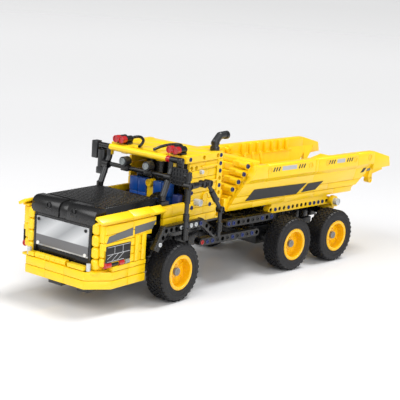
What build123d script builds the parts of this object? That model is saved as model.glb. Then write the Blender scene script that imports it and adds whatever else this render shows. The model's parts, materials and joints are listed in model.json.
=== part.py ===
"""Brick-built toy articulated dump truck, one STEP file per piece.

Millimetres. +Z up, front towards -Y, the truck's left towards +X. Each piece is drawn as if the
truck stood straight on the middle line, with y = 0 half way along. The truck is parked with its
front unit turned to the left, so write() and write_front() then put each piece where it stands,
with the origin on the ground under the middle of the parked truck's length and width.

The rear frame carries two axles, the tipping bed, its lift cylinder and the side beams. The front unit (nose, cab,
front axle) turns on a vertical pin behind the cab.
"""

from build123d import *
from math import atan2, cos, degrees, hypot, radians, sin
import os

os.makedirs("parts", exist_ok=True)

# ---- driving dimensions -------------------------------------------------------------------------
PITCH = 8.0                 # hole spacing and height of a studless beam
HOLE_R = 2.4                # pin hole
PANEL = 4.0                 # thickness of a panel
SIDE_RIGHT, SIDE_LEFT = -1, 1

TYRE_R = 31.0               # outer radius of a tyre
TYRE_W = 24.0               # width of a tyre
TYRE_SHOULDER = 4.0         # bevel between tread and side
RIM_R = 18.5                # radius of the rim
RIM_DISH = 9.0              # depth of the dish in the rim's outer face
HUB_HALF = 3.5              # half length of the hub in the dishes
WHEEL_X = 62.0              # middle plane of the wheels
AXLE_R = 2.4                # axle rod
AXLE_FIT = 0.3              # play between the rod and a wheel's bore

FRONT_AXLE_Y = -142.0
MID_AXLE_Y = 64.5
REAR_AXLE_Y = 143.5
AXLE_Z = TYRE_R

BUMPER_Y = -252.0           # face of the bumper
TAIL_Y = 262.0              # tip of the bed's tail
HITCH_Y = -28.0             # steering pin
HITCH_R = 3.0
STEER_LIMIT = 18.0          # degrees each way from straight
STEER_PARKED = 6.3          # degrees to the left as it stands

BED_HINGE_Y = 159.0
BED_HINGE_Z = 68.5
BED_LIMIT = 50.0            # degrees
BED_BOTTOM = 76.0           # underside of the bed
BED_RAIL_Z = 114.0          # underside of the bed's top rail
BED_TOP = 126.0             # top of that rail
BED_HALF_BOTTOM = 50.0      # half width at the floor
BED_HALF_RAIL = 58.0        # half width where the wall meets the rail
BED_FRONT_Y = -32.0         # foot of the front wall
BED_FRONT_LEAN = 34.5       # how far the front wall leans back up to the rail's top
BED_FLOOR_END = 195.0       # where the floor starts to rise towards the tail

FRAME_Z0, FRAME_Z1 = 44.0, 60.0      # rails of the rear frame
FRAME_X0, FRAME_X1 = 12.0, 20.0

CYL_BASE_Y, CYL_BASE_Z = 2.0, 46.0   # lower pin of the lift cylinder
CYL_EYE_Y, CYL_EYE_Z = 132.0, 67.0   # upper pin, on the bed
CYL_PIN_R = 1.8                      # that pin's radius
CYL_EYE_PLAY = 2.35                  # room round it in the rod's eye
CYL_BARREL_R = 6.5
CYL_ROD_R = 2.5
CYL_BARREL_L = 80.0

BUMPER_Z0, BUMPER_Z1 = 26.5, 49.0
SHELF_Z = 44.5              # top of the bumper's shelf, where the nose stands
BUMPER_HALF_FRONT = 40.0
BUMPER_HALF_SIDE = 57.0
BUMPER_SIDE_Y = -230.7      # where the chamfer meets the side
BUMPER_REAR_Y = -176.0

GRILLE_Y = -243.0
GRILLE_HALF = 38.0
GRILLE_Z0, GRILLE_Z1 = 52.0, 86.0
NOSE_HALF = 47.0            # outside of the nose's corner columns

HOOD_Z = 104.5
HOOD_FRONT_Y, HOOD_REAR_Y = -229.0, -152.0
HOOD_HALF_TOP = 40.0
HOOD_HALF_EDGE = 47.0
HOOD_EDGE_Z = 96.0

FENDER_X = 56.0
FENDER_TOP = 92.0

CAB_HALF = 52.0
CAB_FRONT_Y, CAB_REAR_Y = -150.0, -54.0
CAB_FLOOR_Z0, CAB_FLOOR_Z1 = 64.0, 73.0
CAB_PANEL_Y = -111.0        # front edge of the closed part of the cab's side
SILL_Z = 97.0               # sill of the open part of the cab's side
COWL_Z = 101.0              # top of the cowl under the windscreen
ROOF_Z0, ROOF_Z1 = 138.0, 146.0
ROOF_FRONT_Y = -118.0
ROOF_TUBE_Y, ROOF_TUBE_Z = -130.0, 142.7
ROOF_TUBE_R = 3.5
PILLAR_X = 43.0
SEAT_BACK_Y = -112.0        # front face of the seats' backs

GUARD_X0, GUARD_X1 = 60.0, 68.0      # mudguard beams over the front wheels
POST_X = 71.0                        # handrails, outside the mudguards
POST_Y = -137.0
SIDE_BEAM_Z = 65.0                   # upper side beams of the rear frame
SIDE_BEAM_X = 55.5
SIDE_BEAM_Y0 = -36.6
STEP_BEAM_Z = 52.0                   # lower side beams of the rear frame
STEP_BEAM_X = 61.7
STEP_BEAM_Y0 = -83.9
BED_BEAM_X = 44.0                    # beams under the bed
BED_BEAM_Z = BED_HINGE_Z
RAIL_R = 2.4                         # rods of handrails and roof tube


# ---- helpers ------------------------------------------------------------------------------------
def box(x0, x1, y0, y1, z0, z1):
    """Box between two corners."""
    middle = Pos((x0 + x1) / 2, (y0 + y1) / 2, (z0 + z1) / 2)
    return middle * Box(abs(x1 - x0), abs(y1 - y0), abs(z1 - z0))


def prism_x(points, x0, x1):
    """Solid with a (y, z) outline between two x."""
    face = Plane.YZ * Polygon(*points, align=None)
    return Pos(x0, 0, 0) * extrude(face, x1 - x0, dir=(1, 0, 0))


def prism_y(points, y0, y1):
    """Solid with an (x, z) outline between two y."""
    face = Plane.XZ * Polygon(*points, align=None)
    return Pos(0, y0, 0) * extrude(face, y1 - y0, dir=(0, 1, 0))


def prism_z(points, z0, z1):
    """Solid with an (x, y) outline between two z."""
    return Pos(0, 0, z0) * extrude(Polygon(*points, align=None), z1 - z0, dir=(0, 0, 1))


def rod_x(radius, x0, x1, y, z):
    """Round rod along x."""
    return Pos((x0 + x1) / 2, y, z) * Rot(0, 90, 0) * Cylinder(radius, abs(x1 - x0))


def rod_y(radius, y0, y1, x, z):
    """Round rod along y."""
    return Pos(x, (y0 + y1) / 2, z) * Rot(90, 0, 0) * Cylinder(radius, abs(y1 - y0))


def rod_z(radius, z0, z1, x, y):
    """Round rod along z."""
    return Pos(x, y, (z0 + z1) / 2) * Cylinder(radius, abs(z1 - z0))


def beam_y(holes, x, y0, z, width=PITCH):
    """Studless beam along y: round ends, cross holes along x, its first hole at y0."""
    length = (holes - 1) * PITCH
    blank = Pos(y0 + length / 2, z) * SlotCenterToCenter(length, PITCH)
    for i in range(holes):
        blank -= Pos(y0 + i * PITCH, z) * Circle(HOLE_R)
    return Pos(x - width / 2, 0, 0) * extrude(Plane.YZ * blank, width)


def bent_rod(radius, points):
    """Round rod through points, with a ball at each bend."""
    solid = None
    for start, end in zip(points, points[1:]):
        direction = Vector(*end) - Vector(*start)
        bottom = (Align.CENTER, Align.CENTER, Align.MIN)
        leg = Plane(origin=start, z_dir=direction) * Cylinder(radius, direction.length, align=bottom)
        solid = leg if solid is None else solid + leg
    for point in points[1:-1]:
        solid += Pos(*point) * Sphere(radius)
    return solid


def mirror_x(solid):
    """The same piece on the truck's other side."""
    return mirror(solid, about=Plane.YZ)


def pair(put, name, solid):
    """Writes a left piece and its mirror image on the right, each its own node."""
    put(name + "_left", solid)
    put(name + "_right", mirror_x(solid))


def both_sides(put, name, solid):
    """Writes one node that holds a left piece and its mirror image."""
    put(name, Compound([solid, mirror_x(solid)]))


def turned(x, y):
    """Where a point of the front unit stands when the truck is parked."""
    angle = radians(STEER_PARKED)
    ahead = y - HITCH_Y
    return x * cos(angle) - ahead * sin(angle), HITCH_Y + x * sin(angle) + ahead * cos(angle)


def origin():
    """Middle of the parked truck: between its left front and right rear tyres, nose and tail."""
    side = WHEEL_X + TYRE_W / 2
    left = turned(side, FRONT_AXLE_Y - TYRE_R + TYRE_SHOULDER)[0]
    nose = turned(-BUMPER_HALF_FRONT, BUMPER_Y)[1]
    return (left - side) / 2, (nose + TAIL_Y) / 2


def write(name, solid):
    """Writes one node of the rear unit."""
    x, y = origin()
    export_step(Pos(-x, -y, 0) * solid, f"parts/{name}.step")


def write_front(name, solid):
    """Writes one node of the front unit, turned about the steering pin."""
    about = Pos(0, HITCH_Y, 0)
    write(name, about * Rot(0, 0, STEER_PARKED) * about.inverse() * solid)


# ---- wheels -------------------------------------------------------------------------------------
def tyre():
    """Tyre about the x axis through the origin, its bore on the rim."""
    half = TYRE_W / 2
    shoulder = TYRE_SHOULDER
    section = [
        (-half + 1, RIM_R),
        (half - 1, RIM_R),
        (half, RIM_R + 3),
        (half, TYRE_R - shoulder),
        (half - shoulder, TYRE_R),
        (-half + shoulder, TYRE_R),
        (-half, TYRE_R - shoulder),
        (-half, RIM_R + 3),
    ]
    return revolve(Plane.XY * Polygon(*section, align=None), Axis.X)


def rim(side):
    """Dished rim with a hub, six pin holes and a bore for the axle."""
    half = TYRE_W / 2 - 1
    body = Rot(0, 90, 0) * Cylinder(RIM_R, 2 * half)
    dish_r = RIM_R - 3.5
    dish_x = side * (half - RIM_DISH / 2)
    body -= Pos(dish_x, 0, 0) * Rot(0, 90, 0) * Cylinder(dish_r, RIM_DISH)
    body -= Pos(-dish_x, 0, 0) * Rot(0, 90, 0) * Cylinder(dish_r, RIM_DISH)
    body += Rot(0, 90, 0) * Cylinder(5.0, 2 * HUB_HALF)
    for i in range(6):
        angle = radians(60 * i)
        spot = Pos(0, 10 * cos(angle), 10 * sin(angle))
        body -= spot * Rot(0, 90, 0) * Cylinder(HOLE_R, 2 * half)
    return body - Rot(0, 90, 0) * Cylinder(AXLE_R + AXLE_FIT, 2 * half)


def axle(y):
    """Fixed axle rod with a stop bush at both faces of each wheel's hub, in the dishes."""
    outer, inner = WHEEL_X + HUB_HALF + 0.3, WHEEL_X - HUB_HALF - 0.3
    tip = outer + 2.6
    rod = rod_x(AXLE_R, -tip, tip, y, AXLE_Z)
    for side in (SIDE_RIGHT, SIDE_LEFT):
        rod += rod_x(4.0, side * outer, side * tip, y, AXLE_Z)
        rod += rod_x(4.0, side * 44.0, side * inner, y, AXLE_Z)
    return rod


def write_wheels():
    """Six wheels: a tyre and a rim each."""
    for axle_name, y in (("front", FRONT_AXLE_Y), ("mid", MID_AXLE_Y), ("rear", REAR_AXLE_Y)):
        for side_name, side in (("left", SIDE_LEFT), ("right", SIDE_RIGHT)):
            put = write_front if axle_name == "front" else write
            place = Pos(side * WHEEL_X, y, AXLE_Z)
            put(f"tyre_{axle_name}_{side_name}", place * tyre())
            put(f"rim_{axle_name}_{side_name}", place * rim(side))


# ---- rear frame ---------------------------------------------------------------------------------
def rear_frame():
    """Two rails with cross members, the fork for the steering pin and the axle carriers."""
    front, rear = HITCH_Y + 12.0, BED_HINGE_Y + 10.0
    frame = box(-24, 24, front, front + 8, 38, 64)
    for side in (SIDE_RIGHT, SIDE_LEFT):
        frame += box(side * FRAME_X0, side * FRAME_X1, front, rear, FRAME_Z0, FRAME_Z1)
        frame += box(side * FRAME_X1, side * 50, front, front + 8, 58, 64)
    for z0, z1 in ((38, 44), (58, 64)):
        frame += box(-10, 10, HITCH_Y, front, z0, z1)
        frame += rod_z(10, z0, z1, 0, HITCH_Y)
    frame -= rod_z(HITCH_R, 30, 70, 0, HITCH_Y)
    for y in (MID_AXLE_Y, REAR_AXLE_Y):
        frame += box(-FRAME_X1, FRAME_X1, y - 10, y + 10, AXLE_Z - 8, FRAME_Z0)
        frame -= rod_x(AXLE_R, -FRAME_X1 - 1, FRAME_X1 + 1, y, AXLE_Z)
    frame += box(-46, 46, rear - 14, rear, 50, 58)
    for side in (SIDE_RIGHT, SIDE_LEFT):
        frame += box(side * FRAME_X1, side * 48, 30, 38, 58, 64)
    frame += cylinder_seat()
    return frame


def cylinder_seat():
    """Two cheeks between the rails that hold the lower pin of the lift cylinder."""
    cheeks = None
    for side in (SIDE_RIGHT, SIDE_LEFT):
        cheek = box(side * 7.5, side * FRAME_X0, CYL_BASE_Y - 6, CYL_BASE_Y + 6, CYL_BASE_Z - 6, 58)
        cheek -= rod_x(HOLE_R, side * 6, side * 13, CYL_BASE_Y, CYL_BASE_Z)
        cheeks = cheek if cheeks is None else cheeks + cheek
    return cheeks


def side_beam():
    """Ten-hole beam beside the frame, left side, carried by the two outriggers."""
    beam = beam_y(10, SIDE_BEAM_X, SIDE_BEAM_Y0, SIDE_BEAM_Z)
    arm_x1 = SIDE_BEAM_X - PITCH / 2
    for y0, x0 in ((HITCH_Y + 12.0, 24), (30.0, 24)):
        beam += box(x0, arm_x1, y0, y0 + 8, 64, 68)
    return beam


def step_beam():
    """Twelve-hole lower beam on the left, reaching forward past the cab, with its two arms."""
    beam = beam_y(12, STEP_BEAM_X, STEP_BEAM_Y0, STEP_BEAM_Z)
    arm_x1 = STEP_BEAM_X - PITCH / 2
    beam += box(24, arm_x1, HITCH_Y + 12.0, HITCH_Y + 20.0, 49, 55)
    beam += box(FRAME_X1, arm_x1, HITCH_Y + 26.0, HITCH_Y + 34.0, 49, 55)
    return beam


def bogie_beam():
    """Beam that joins the middle and rear axles on the left, drilled for both."""
    x0, x1 = 30.0, 38.0
    outline = Pos((MID_AXLE_Y + REAR_AXLE_Y) / 2, AXLE_Z)
    blank = outline * SlotCenterToCenter(REAR_AXLE_Y - MID_AXLE_Y, 12)
    beam = Pos(x0, 0, 0) * extrude(Plane.YZ * blank, x1 - x0)
    middle = (MID_AXLE_Y + REAR_AXLE_Y) / 2
    beam += box(FRAME_X1, x1, middle - 10, middle + 10, AXLE_Z + 2, AXLE_Z + 8)
    beam += box(FRAME_X1, x0, middle - 10, middle + 10, AXLE_Z + 8, FRAME_Z1 - 6)
    for y in (MID_AXLE_Y, REAR_AXLE_Y):
        beam -= rod_x(AXLE_R, x0 - 1, x1 + 1, y, AXLE_Z)
    return beam


def hinge_bracket():
    """Left bracket of the bed's hinge, standing on the frame's rear cross member."""
    x0, x1 = 49.5, 54.5
    y0, y1 = BED_HINGE_Y - 4, BED_HINGE_Y + 6.5
    plate = rod_x(6.5, x0, x1, BED_HINGE_Y, BED_HINGE_Z)
    plate += box(x0, x1, y0, y1, 61.5, BED_HINGE_Z)
    plate += box(34, x0 + 1, y0, y1, 61.0, 63.0)
    plate += box(34, x0, y0, y1, 58, 61)
    return plate - rod_x(HOLE_R, x0 - 1, x1 + 1, BED_HINGE_Y, BED_HINGE_Z)


def hinge_pin():
    """Left pin of the bed's hinge, fixed in the bracket, with a round head outside."""
    pin = rod_x(HOLE_R, 38.0, 55.5, BED_HINGE_Y, BED_HINGE_Z)
    return pin + rod_x(4.0, 54.5, 57.5, BED_HINGE_Y, BED_HINGE_Z)


def write_rear_frame():
    """The root body."""
    write("rear_frame", rear_frame())
    write("steering_pin", rod_z(HITCH_R, 36, 66, 0, HITCH_Y) + rod_z(5, 64, 66, 0, HITCH_Y))
    write("axle_mid", axle(MID_AXLE_Y))
    write("axle_rear", axle(REAR_AXLE_Y))
    both_sides(write, "side_beams", side_beam())
    both_sides(write, "step_beams", step_beam())
    both_sides(write, "bogie_beams", bogie_beam())
    both_sides(write, "hinge_brackets", hinge_bracket())
    both_sides(write, "bed_hinge_pins", hinge_pin())


# ---- lift cylinder ------------------------------------------------------------------------------
def along_cylinder(solid):
    """Turns a piece built along +y from the origin onto the line between the cylinder's pins."""
    lean = degrees(atan2(CYL_EYE_Z - CYL_BASE_Z, CYL_EYE_Y - CYL_BASE_Y))
    return Pos(0, CYL_BASE_Y, CYL_BASE_Z) * Rot(lean, 0, 0) * solid


def cylinder_barrel():
    """Barrel with its pivot pin, hollow for the rod."""
    barrel = rod_y(CYL_BARREL_R, 4, CYL_BARREL_L, 0, 0)
    barrel += rod_x(5.0, -6.5, 6.5, 0, 0)
    barrel += rod_x(HOLE_R - 0.2, -10, 10, 0, 0)
    barrel -= rod_y(CYL_ROD_R + 0.3, 12, CYL_BARREL_L, 0, 0)
    return along_cylinder(barrel)


def cylinder_rod():
    """Rod with a roomy eye at its end."""
    length = hypot(CYL_EYE_Y - CYL_BASE_Y, CYL_EYE_Z - CYL_BASE_Z)
    rod = rod_y(CYL_ROD_R, 20, length - 3, 0, 0) + rod_x(6.2, -4, 4, length, 0)
    rod -= rod_x(CYL_PIN_R + CYL_EYE_PLAY, -5, 5, length, 0)
    return along_cylinder(rod)


def write_cylinder():
    """Barrel and rod."""
    write("cylinder_barrel", cylinder_barrel())
    write("cylinder_rod", cylinder_rod())


# ---- tipping bed --------------------------------------------------------------------------------
def front_wall_y(z):
    """Outside of the bed's front wall at height z."""
    slope = BED_FRONT_LEAN / (BED_TOP - BED_BOTTOM)
    return BED_FRONT_Y + (z - BED_BOTTOM) * slope


def tail_profile(lift):
    """Underside of the bed from the front to the tail as (y, z), raised by lift."""
    return [
        (BED_FRONT_Y, BED_BOTTOM + lift),
        (BED_FLOOR_END, BED_BOTTOM + lift),
        (TAIL_Y - 37.0, BED_BOTTOM + 15.0 + lift),
        (TAIL_Y, BED_BOTTOM + 22.0 + lift),
    ]


def bed_envelope(side_extra=0.0):
    """Everything between the bed's slanted front, its underside and its tail."""
    top = BED_TOP + 10
    outline = tail_profile(0)
    outline += [(TAIL_Y - 6.0, BED_TOP - 4.0), (TAIL_Y - 38.0, BED_TOP)]
    outline += [(TAIL_Y - 38.0, top), (front_wall_y(top), top)]
    return prism_x(outline, -90, 90)


def wall_section(inner, outer):
    """(x, z) outline of the left wall between two offsets from its outside."""
    return [
        (BED_HALF_BOTTOM - inner, BED_BOTTOM),
        (BED_HALF_BOTTOM - outer, BED_BOTTOM),
        (BED_HALF_RAIL - outer, BED_RAIL_Z),
        (BED_HALF_RAIL - inner, BED_RAIL_Z),
    ]


def bed_side():
    """Left wall, leaning outwards, cut along the bed's slanted ends."""
    wall = prism_y(wall_section(5.0, 0.0), BED_FRONT_Y, TAIL_Y)
    return wall & bed_envelope()


def bed_rail():
    """Left top rail, wider than the wall and chamfered outside."""
    half = BED_HALF_RAIL
    section = [
        (half - 5, BED_RAIL_Z),
        (half + 3, BED_RAIL_Z),
        (half + 4, BED_RAIL_Z + 2),
        (half + 3, BED_TOP - 1),
        (half + 2, BED_TOP),
        (half - 4, BED_TOP),
    ]
    rail = prism_y(section, BED_FRONT_Y, TAIL_Y)
    return rail & bed_envelope()


def floor_half(z):
    """Inside half width of the bed at height z."""
    slope = (BED_HALF_RAIL - BED_HALF_BOTTOM) / (BED_RAIL_Z - BED_BOTTOM)
    return BED_HALF_BOTTOM - 5.0 + (z - BED_BOTTOM) * slope


def inside_of_bed(z0, z1):
    """Space between the two side walls, from z0 to z1."""
    low, high = floor_half(z0), floor_half(z1)
    section = [(-low, z0), (low, z0), (high, z1), (-high, z1)]
    return prism_y(section, BED_FRONT_Y - 10, TAIL_Y + 10)


def bed_floor():
    """Floor plate between the side walls and the tail's ramp, with the cylinder's lugs below."""
    lift = 5.0
    plate_outline = tail_profile(0) + list(reversed(tail_profile(lift)))
    plate = prism_x(plate_outline, -90, 90) & inside_of_bed(BED_BOTTOM, BED_RAIL_Z)
    plate = (plate & bed_envelope()) - front_wall_blank()
    for side in (SIDE_RIGHT, SIDE_LEFT):
        x0, x1 = side * 5.0, side * 10.0
        plate += box(x0, x1, CYL_EYE_Y - 5, CYL_EYE_Y + 5, CYL_EYE_Z, BED_BOTTOM)
        plate += rod_x(5.0, x0, x1, CYL_EYE_Y, CYL_EYE_Z)
    return plate - rod_x(CYL_PIN_R, -11, 11, CYL_EYE_Y, CYL_EYE_Z)


def front_wall_blank():
    """The front wall's slanted slab, across the whole bed."""
    top = BED_TOP + 4
    thick = 8.0
    outline = [
        (BED_FRONT_Y, BED_BOTTOM),
        (BED_FRONT_Y + thick, BED_BOTTOM),
        (front_wall_y(top) + thick, top),
        (front_wall_y(top), top),
    ]
    return prism_x(outline, -90, 90)


def bed_front():
    """Front wall between the side walls, higher in the middle."""
    wall = front_wall_blank() & inside_of_bed(BED_BOTTOM, BED_RAIL_Z)
    top = BED_TOP + 4
    reach = BED_HALF_RAIL - 5.0
    wall += front_wall_blank() & box(-reach, reach, -90, 90, BED_RAIL_Z, top)
    return wall


def bed_beam():
    """Beam under the bed on the left, from the front of the wheels to the hinge."""
    holes = 15
    first = BED_HINGE_Y - (holes - 1) * PITCH
    beam = beam_y(holes, BED_BEAM_X, first, BED_BEAM_Z)
    beam += box(BED_BEAM_X - 4, BED_BEAM_X + 4, first, BED_HINGE_Y - 8, BED_BEAM_Z + 4, BED_BOTTOM)
    return beam - rod_x(HOLE_R + 0.2, 30, 60, BED_HINGE_Y, BED_HINGE_Z)


def write_bed():
    """The tipping bed."""
    write("bed_floor", bed_floor())
    write("bed_front_wall", bed_front())
    pair(write, "bed_side", bed_side())
    both_sides(write, "bed_rails", bed_rail())
    both_sides(write, "bed_beams", bed_beam())
    write("cylinder_eye_pin", rod_x(CYL_PIN_R, -10, 10, CYL_EYE_Y, CYL_EYE_Z))


# ---- front unit ---------------------------------------------------------------------------------
def front_frame():
    """Central box beam with the tongue for the steering pin and the carrier of the front axle."""
    y0, y1 = GRILLE_Y + 15, CAB_REAR_Y
    frame = box(-26, 26, y0, y1, 40, 58)
    frame += box(-8, 8, y1, HITCH_Y, 45, 57)
    frame += rod_z(8, 45, 57, 0, HITCH_Y)
    frame -= rod_z(HITCH_R + 0.2, 30, 70, 0, HITCH_Y)
    frame += box(-20, 20, FRONT_AXLE_Y - 10, FRONT_AXLE_Y + 10, AXLE_Z - 8, 40)
    frame -= rod_x(AXLE_R, -30, 30, FRONT_AXLE_Y, AXLE_Z)
    frame += box(-26, 26, CAB_FRONT_Y, CAB_REAR_Y - 4, 58, CAB_FLOOR_Z0)
    reach = BUMPER_HALF_SIDE - 2.0
    frame += box(-reach, reach, BUMPER_REAR_Y - 4, BUMPER_REAR_Y, 42, BUMPER_Z1)
    return frame


def bumper():
    """Two-layer bumper with chamfered corners, open at the rear."""
    def ring(inset):
        return [
            (BUMPER_HALF_FRONT - inset * 0.4, BUMPER_Y + inset),
            (BUMPER_HALF_SIDE - inset, BUMPER_SIDE_Y + inset * 0.6),
            (BUMPER_HALF_SIDE - inset, BUMPER_REAR_Y - 4 if inset == 0 else BUMPER_REAR_Y + 1),
        ]
    def both(points):
        return points + [(-x, y) for x, y in reversed(points)]
    under = SHELF_Z - 2.0
    low = prism_z(both(ring(0)), BUMPER_Z0, under)
    low -= prism_z(both(ring(8)), BUMPER_Z0 - 1, under + 1)
    shelf = prism_z(both(ring(0)), under, SHELF_Z) - prism_z(both(ring(24)), under - 1, SHELF_Z + 1)
    inner = BUMPER_HALF_SIDE - 8
    side = box(inner, BUMPER_HALF_SIDE, BUMPER_SIDE_Y, BUMPER_REAR_Y - 4, SHELF_Z, BUMPER_Z1)
    return low + shelf + side + mirror_x(side)


def write_nose():
    """Bumper, grille, nose columns and hood."""
    write_front("bumper", bumper())
    column = box(GRILLE_HALF + 1, NOSE_HALF, GRILLE_Y - 1, GRILLE_Y + 15, SHELF_Z, 92)
    rest = box(-NOSE_HALF, NOSE_HALF, GRILLE_Y + 7, GRILLE_Y + 15, 58, 66)
    write_front("nose_frame", column + mirror_x(column) + rest)
    grille = box(-GRILLE_HALF - 1, GRILLE_HALF + 1, GRILLE_Y + 2, GRILLE_Y + 7, SHELF_Z, 88)
    write_front("grille_frame", grille)
    panel = box(-GRILLE_HALF + 2, GRILLE_HALF - 2, GRILLE_Y, GRILLE_Y + 2, GRILLE_Z0 + 2, GRILLE_Z1 - 1)
    write_front("grille_panel", panel)
    write_front("hood", hood())
    write_front("hood_front", hood_front())


def hood():
    """Ribless hood shell with sloped flanks."""
    def section(inset):
        return [
            (HOOD_HALF_EDGE - inset, 92),
            (HOOD_HALF_EDGE - inset, HOOD_EDGE_Z - inset * 0.4),
            (HOOD_HALF_TOP - inset * 0.4, HOOD_Z - inset),
        ]
    def both(points):
        return points + [(-x, z) for x, z in reversed(points)]
    shell = prism_y(both(section(0)), HOOD_FRONT_Y, HOOD_REAR_Y)
    return shell - prism_y(both(section(4)), HOOD_FRONT_Y - 1, HOOD_REAR_Y - 4)


def hood_front():
    """Front panel of the hood, sloping down to the grille."""
    outline = [
        (HOOD_FRONT_Y, HOOD_Z),
        (GRILLE_Y - 1, 93),
        (GRILLE_Y - 1, 88),
        (GRILLE_Y + 7, 88),
        (GRILLE_Y + 7, 92),
        (HOOD_FRONT_Y, 92),
    ]
    panel = prism_x(outline, -GRILLE_HALF - 1, GRILLE_HALF + 1)
    high = [(HOOD_FRONT_Y, HOOD_Z), (GRILLE_Y - 1, 93), (GRILLE_Y - 1, 92), (HOOD_FRONT_Y, 92)]
    return panel + prism_x(high, -HOOD_HALF_TOP - 4, HOOD_HALF_TOP + 4)


def fender():
    """Left side of the nose: stacked panels with a slanted ledge on top."""
    x0 = NOSE_HALF
    outline = [
        (x0, GRILLE_Y + 2),
        (FENDER_X - 6, GRILLE_Y + 2),
        (FENDER_X, GRILLE_Y + 10),
        (FENDER_X, BUMPER_REAR_Y - 4),
        (FENDER_X - PANEL, BUMPER_REAR_Y - 4),
        (FENDER_X - PANEL, GRILLE_Y + 12),
        (x0, GRILLE_Y + 8),
    ]
    body = prism_z(outline, BUMPER_Z1, FENDER_TOP)
    ledge = [(x0, 92), (x0, 100), (FENDER_X, 96), (FENDER_X, 92)]
    return body + prism_y(ledge, GRILLE_Y - 5, CAB_FRONT_Y - 2)


def write_front_sides():
    """Fenders, headlights, mudguards and the left handrail."""
    pair(write_front, "fender", fender())
    lamp = box(FENDER_X, FENDER_X + 1.5, -232, -204, 60, 76)
    both_sides(write_front, "headlights", lamp)
    pair(write_front, "mudguard", mudguard())
    write_front("handrail_left", handrail())


def mudguard():
    """Left bent beam over the front wheel, with the platform that carries it."""
    outline = [(-181, 61), (-167.5, 80), (-102, 81.5), (-74, 63)]
    inner = [(-77, 58.5), (-104.5, 73.5), (-163, 72), (-175, 56.5)]
    arch = prism_x(outline + inner, GUARD_X0, GUARD_X1)
    arch += box(CAB_HALF, GUARD_X0, CAB_FRONT_Y, CAB_PANEL_Y, 74, 78)
    arch += box(CAB_HALF, CAB_HALF + 4, CAB_FRONT_Y, CAB_PANEL_Y, CAB_FLOOR_Z0 + 1, 74)
    return arch


def handrail():
    """Handrail outside the left mudguard: front post, rail down to a rear post, two stubs."""
    x, rear_y = POST_X, -79.0
    rail = bent_rod(RAIL_R, [(x, POST_Y, 64), (x, POST_Y, 134)])
    path = [(x, POST_Y, 120), (x, -104, 120), (x, rear_y, 89), (x, rear_y, 59.5)]
    rail += bent_rod(RAIL_R - 0.2, path)
    for y, z in ((POST_Y, 77), (rear_y, 63)):
        rail += rod_x(RAIL_R - 0.4, GUARD_X1, x, y, z)
    return rail


def cab_wall():
    """Left yellow wall: closed behind the door opening, a low sill ahead of it."""
    outline = [
        (CAB_FRONT_Y, CAB_FLOOR_Z1),
        (CAB_REAR_Y, CAB_FLOOR_Z1),
        (CAB_REAR_Y, ROOF_Z0),
        (CAB_PANEL_Y, ROOF_Z0),
        (CAB_PANEL_Y, SILL_Z),
        (CAB_FRONT_Y, SILL_Z),
    ]
    return prism_x(outline, CAB_HALF - PANEL, CAB_HALF)


def cab_rear():
    """Rear wall between the two side walls."""
    half = CAB_HALF - PANEL
    return box(-half, half, CAB_REAR_Y - PANEL, CAB_REAR_Y, CAB_FLOOR_Z1, ROOF_Z0)


def cab_floor():
    """Floor plate of the cab, with the cowl that carries the front pillars."""
    half = CAB_HALF - PANEL
    floor = box(-CAB_HALF, CAB_HALF, CAB_FRONT_Y, CAB_REAR_Y, 71, CAB_FLOOR_Z1)
    floor += box(-CAB_HALF, CAB_HALF, CAB_FRONT_Y, -80, CAB_FLOOR_Z0, 71)
    floor += box(-half, half, CAB_FRONT_Y, CAB_FRONT_Y + 4, CAB_FLOOR_Z1, COWL_Z)
    return floor + box(-half, half, CAB_FRONT_Y, CAB_FRONT_Y + 12, COWL_Z - 4, COWL_Z)


def roof():
    """Roof deck with two forward arms that hold the front tube."""
    deck = box(-CAB_HALF, CAB_HALF, ROOF_FRONT_Y, CAB_REAR_Y, ROOF_Z0, ROOF_Z1)
    for x in (-24, 24):
        deck += box(x - 4, x + 4, ROOF_TUBE_Y, ROOF_FRONT_Y, ROOF_Z0, ROOF_Z1)
    return deck - rod_x(ROOF_TUBE_R, -60, 60, ROOF_TUBE_Y, ROOF_TUBE_Z)


def roof_tube():
    """Round tube ahead of the roof, with an elbow that hangs down at its left end."""
    end = (54, ROOF_TUBE_Y, ROOF_TUBE_Z)
    tube = rod_x(ROOF_TUBE_R, -58, 54, ROOF_TUBE_Y, ROOF_TUBE_Z)
    return tube + Pos(*end) * Sphere(ROOF_TUBE_R) + rod_z(ROOF_TUBE_R, 128, ROOF_TUBE_Z, 54, ROOF_TUBE_Y)


def pillar():
    """Left leaning front pillar, from the cowl up into the roof tube."""
    foot, knee = (PILLAR_X, CAB_FRONT_Y + 6, COWL_Z), (PILLAR_X, ROOF_TUBE_Y, 133.0)
    rod = bent_rod(3.2, [foot, knee, (PILLAR_X, ROOF_TUBE_Y, ROOF_TUBE_Z)])
    rod &= box(30, 60, CAB_FRONT_Y, CAB_REAR_Y, COWL_Z, ROOF_Z1)
    return rod - rod_x(ROOF_TUBE_R, 30, 60, ROOF_TUBE_Y, ROOF_TUBE_Z)


def cross_bar():
    """Bar between the front pillars with two round lamps above it."""
    y, z = ROOF_TUBE_Y - 3.2, 125.0
    bar = rod_x(RAIL_R, -PILLAR_X, PILLAR_X, y, z) - pillar() - mirror_x(pillar())
    for x in (-16, 16):
        bar += box(x - 3, x + 3, y - 3, y + 3, z - 3, z + 6)
        bar += rod_y(4.5, y - 6, y + 3, x, z + 7)
    return bar


def beacon():
    """Left pair of round beacons on a short base on the roof."""
    pieces = box(29, 45, ROOF_FRONT_Y, ROOF_FRONT_Y + 8, ROOF_Z1, ROOF_Z1 + 2)
    for x in (33, 41):
        pieces += rod_y(3.8, ROOF_FRONT_Y - 6, ROOF_FRONT_Y + 8, x, ROOF_Z1 + 5)
    return pieces


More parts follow.
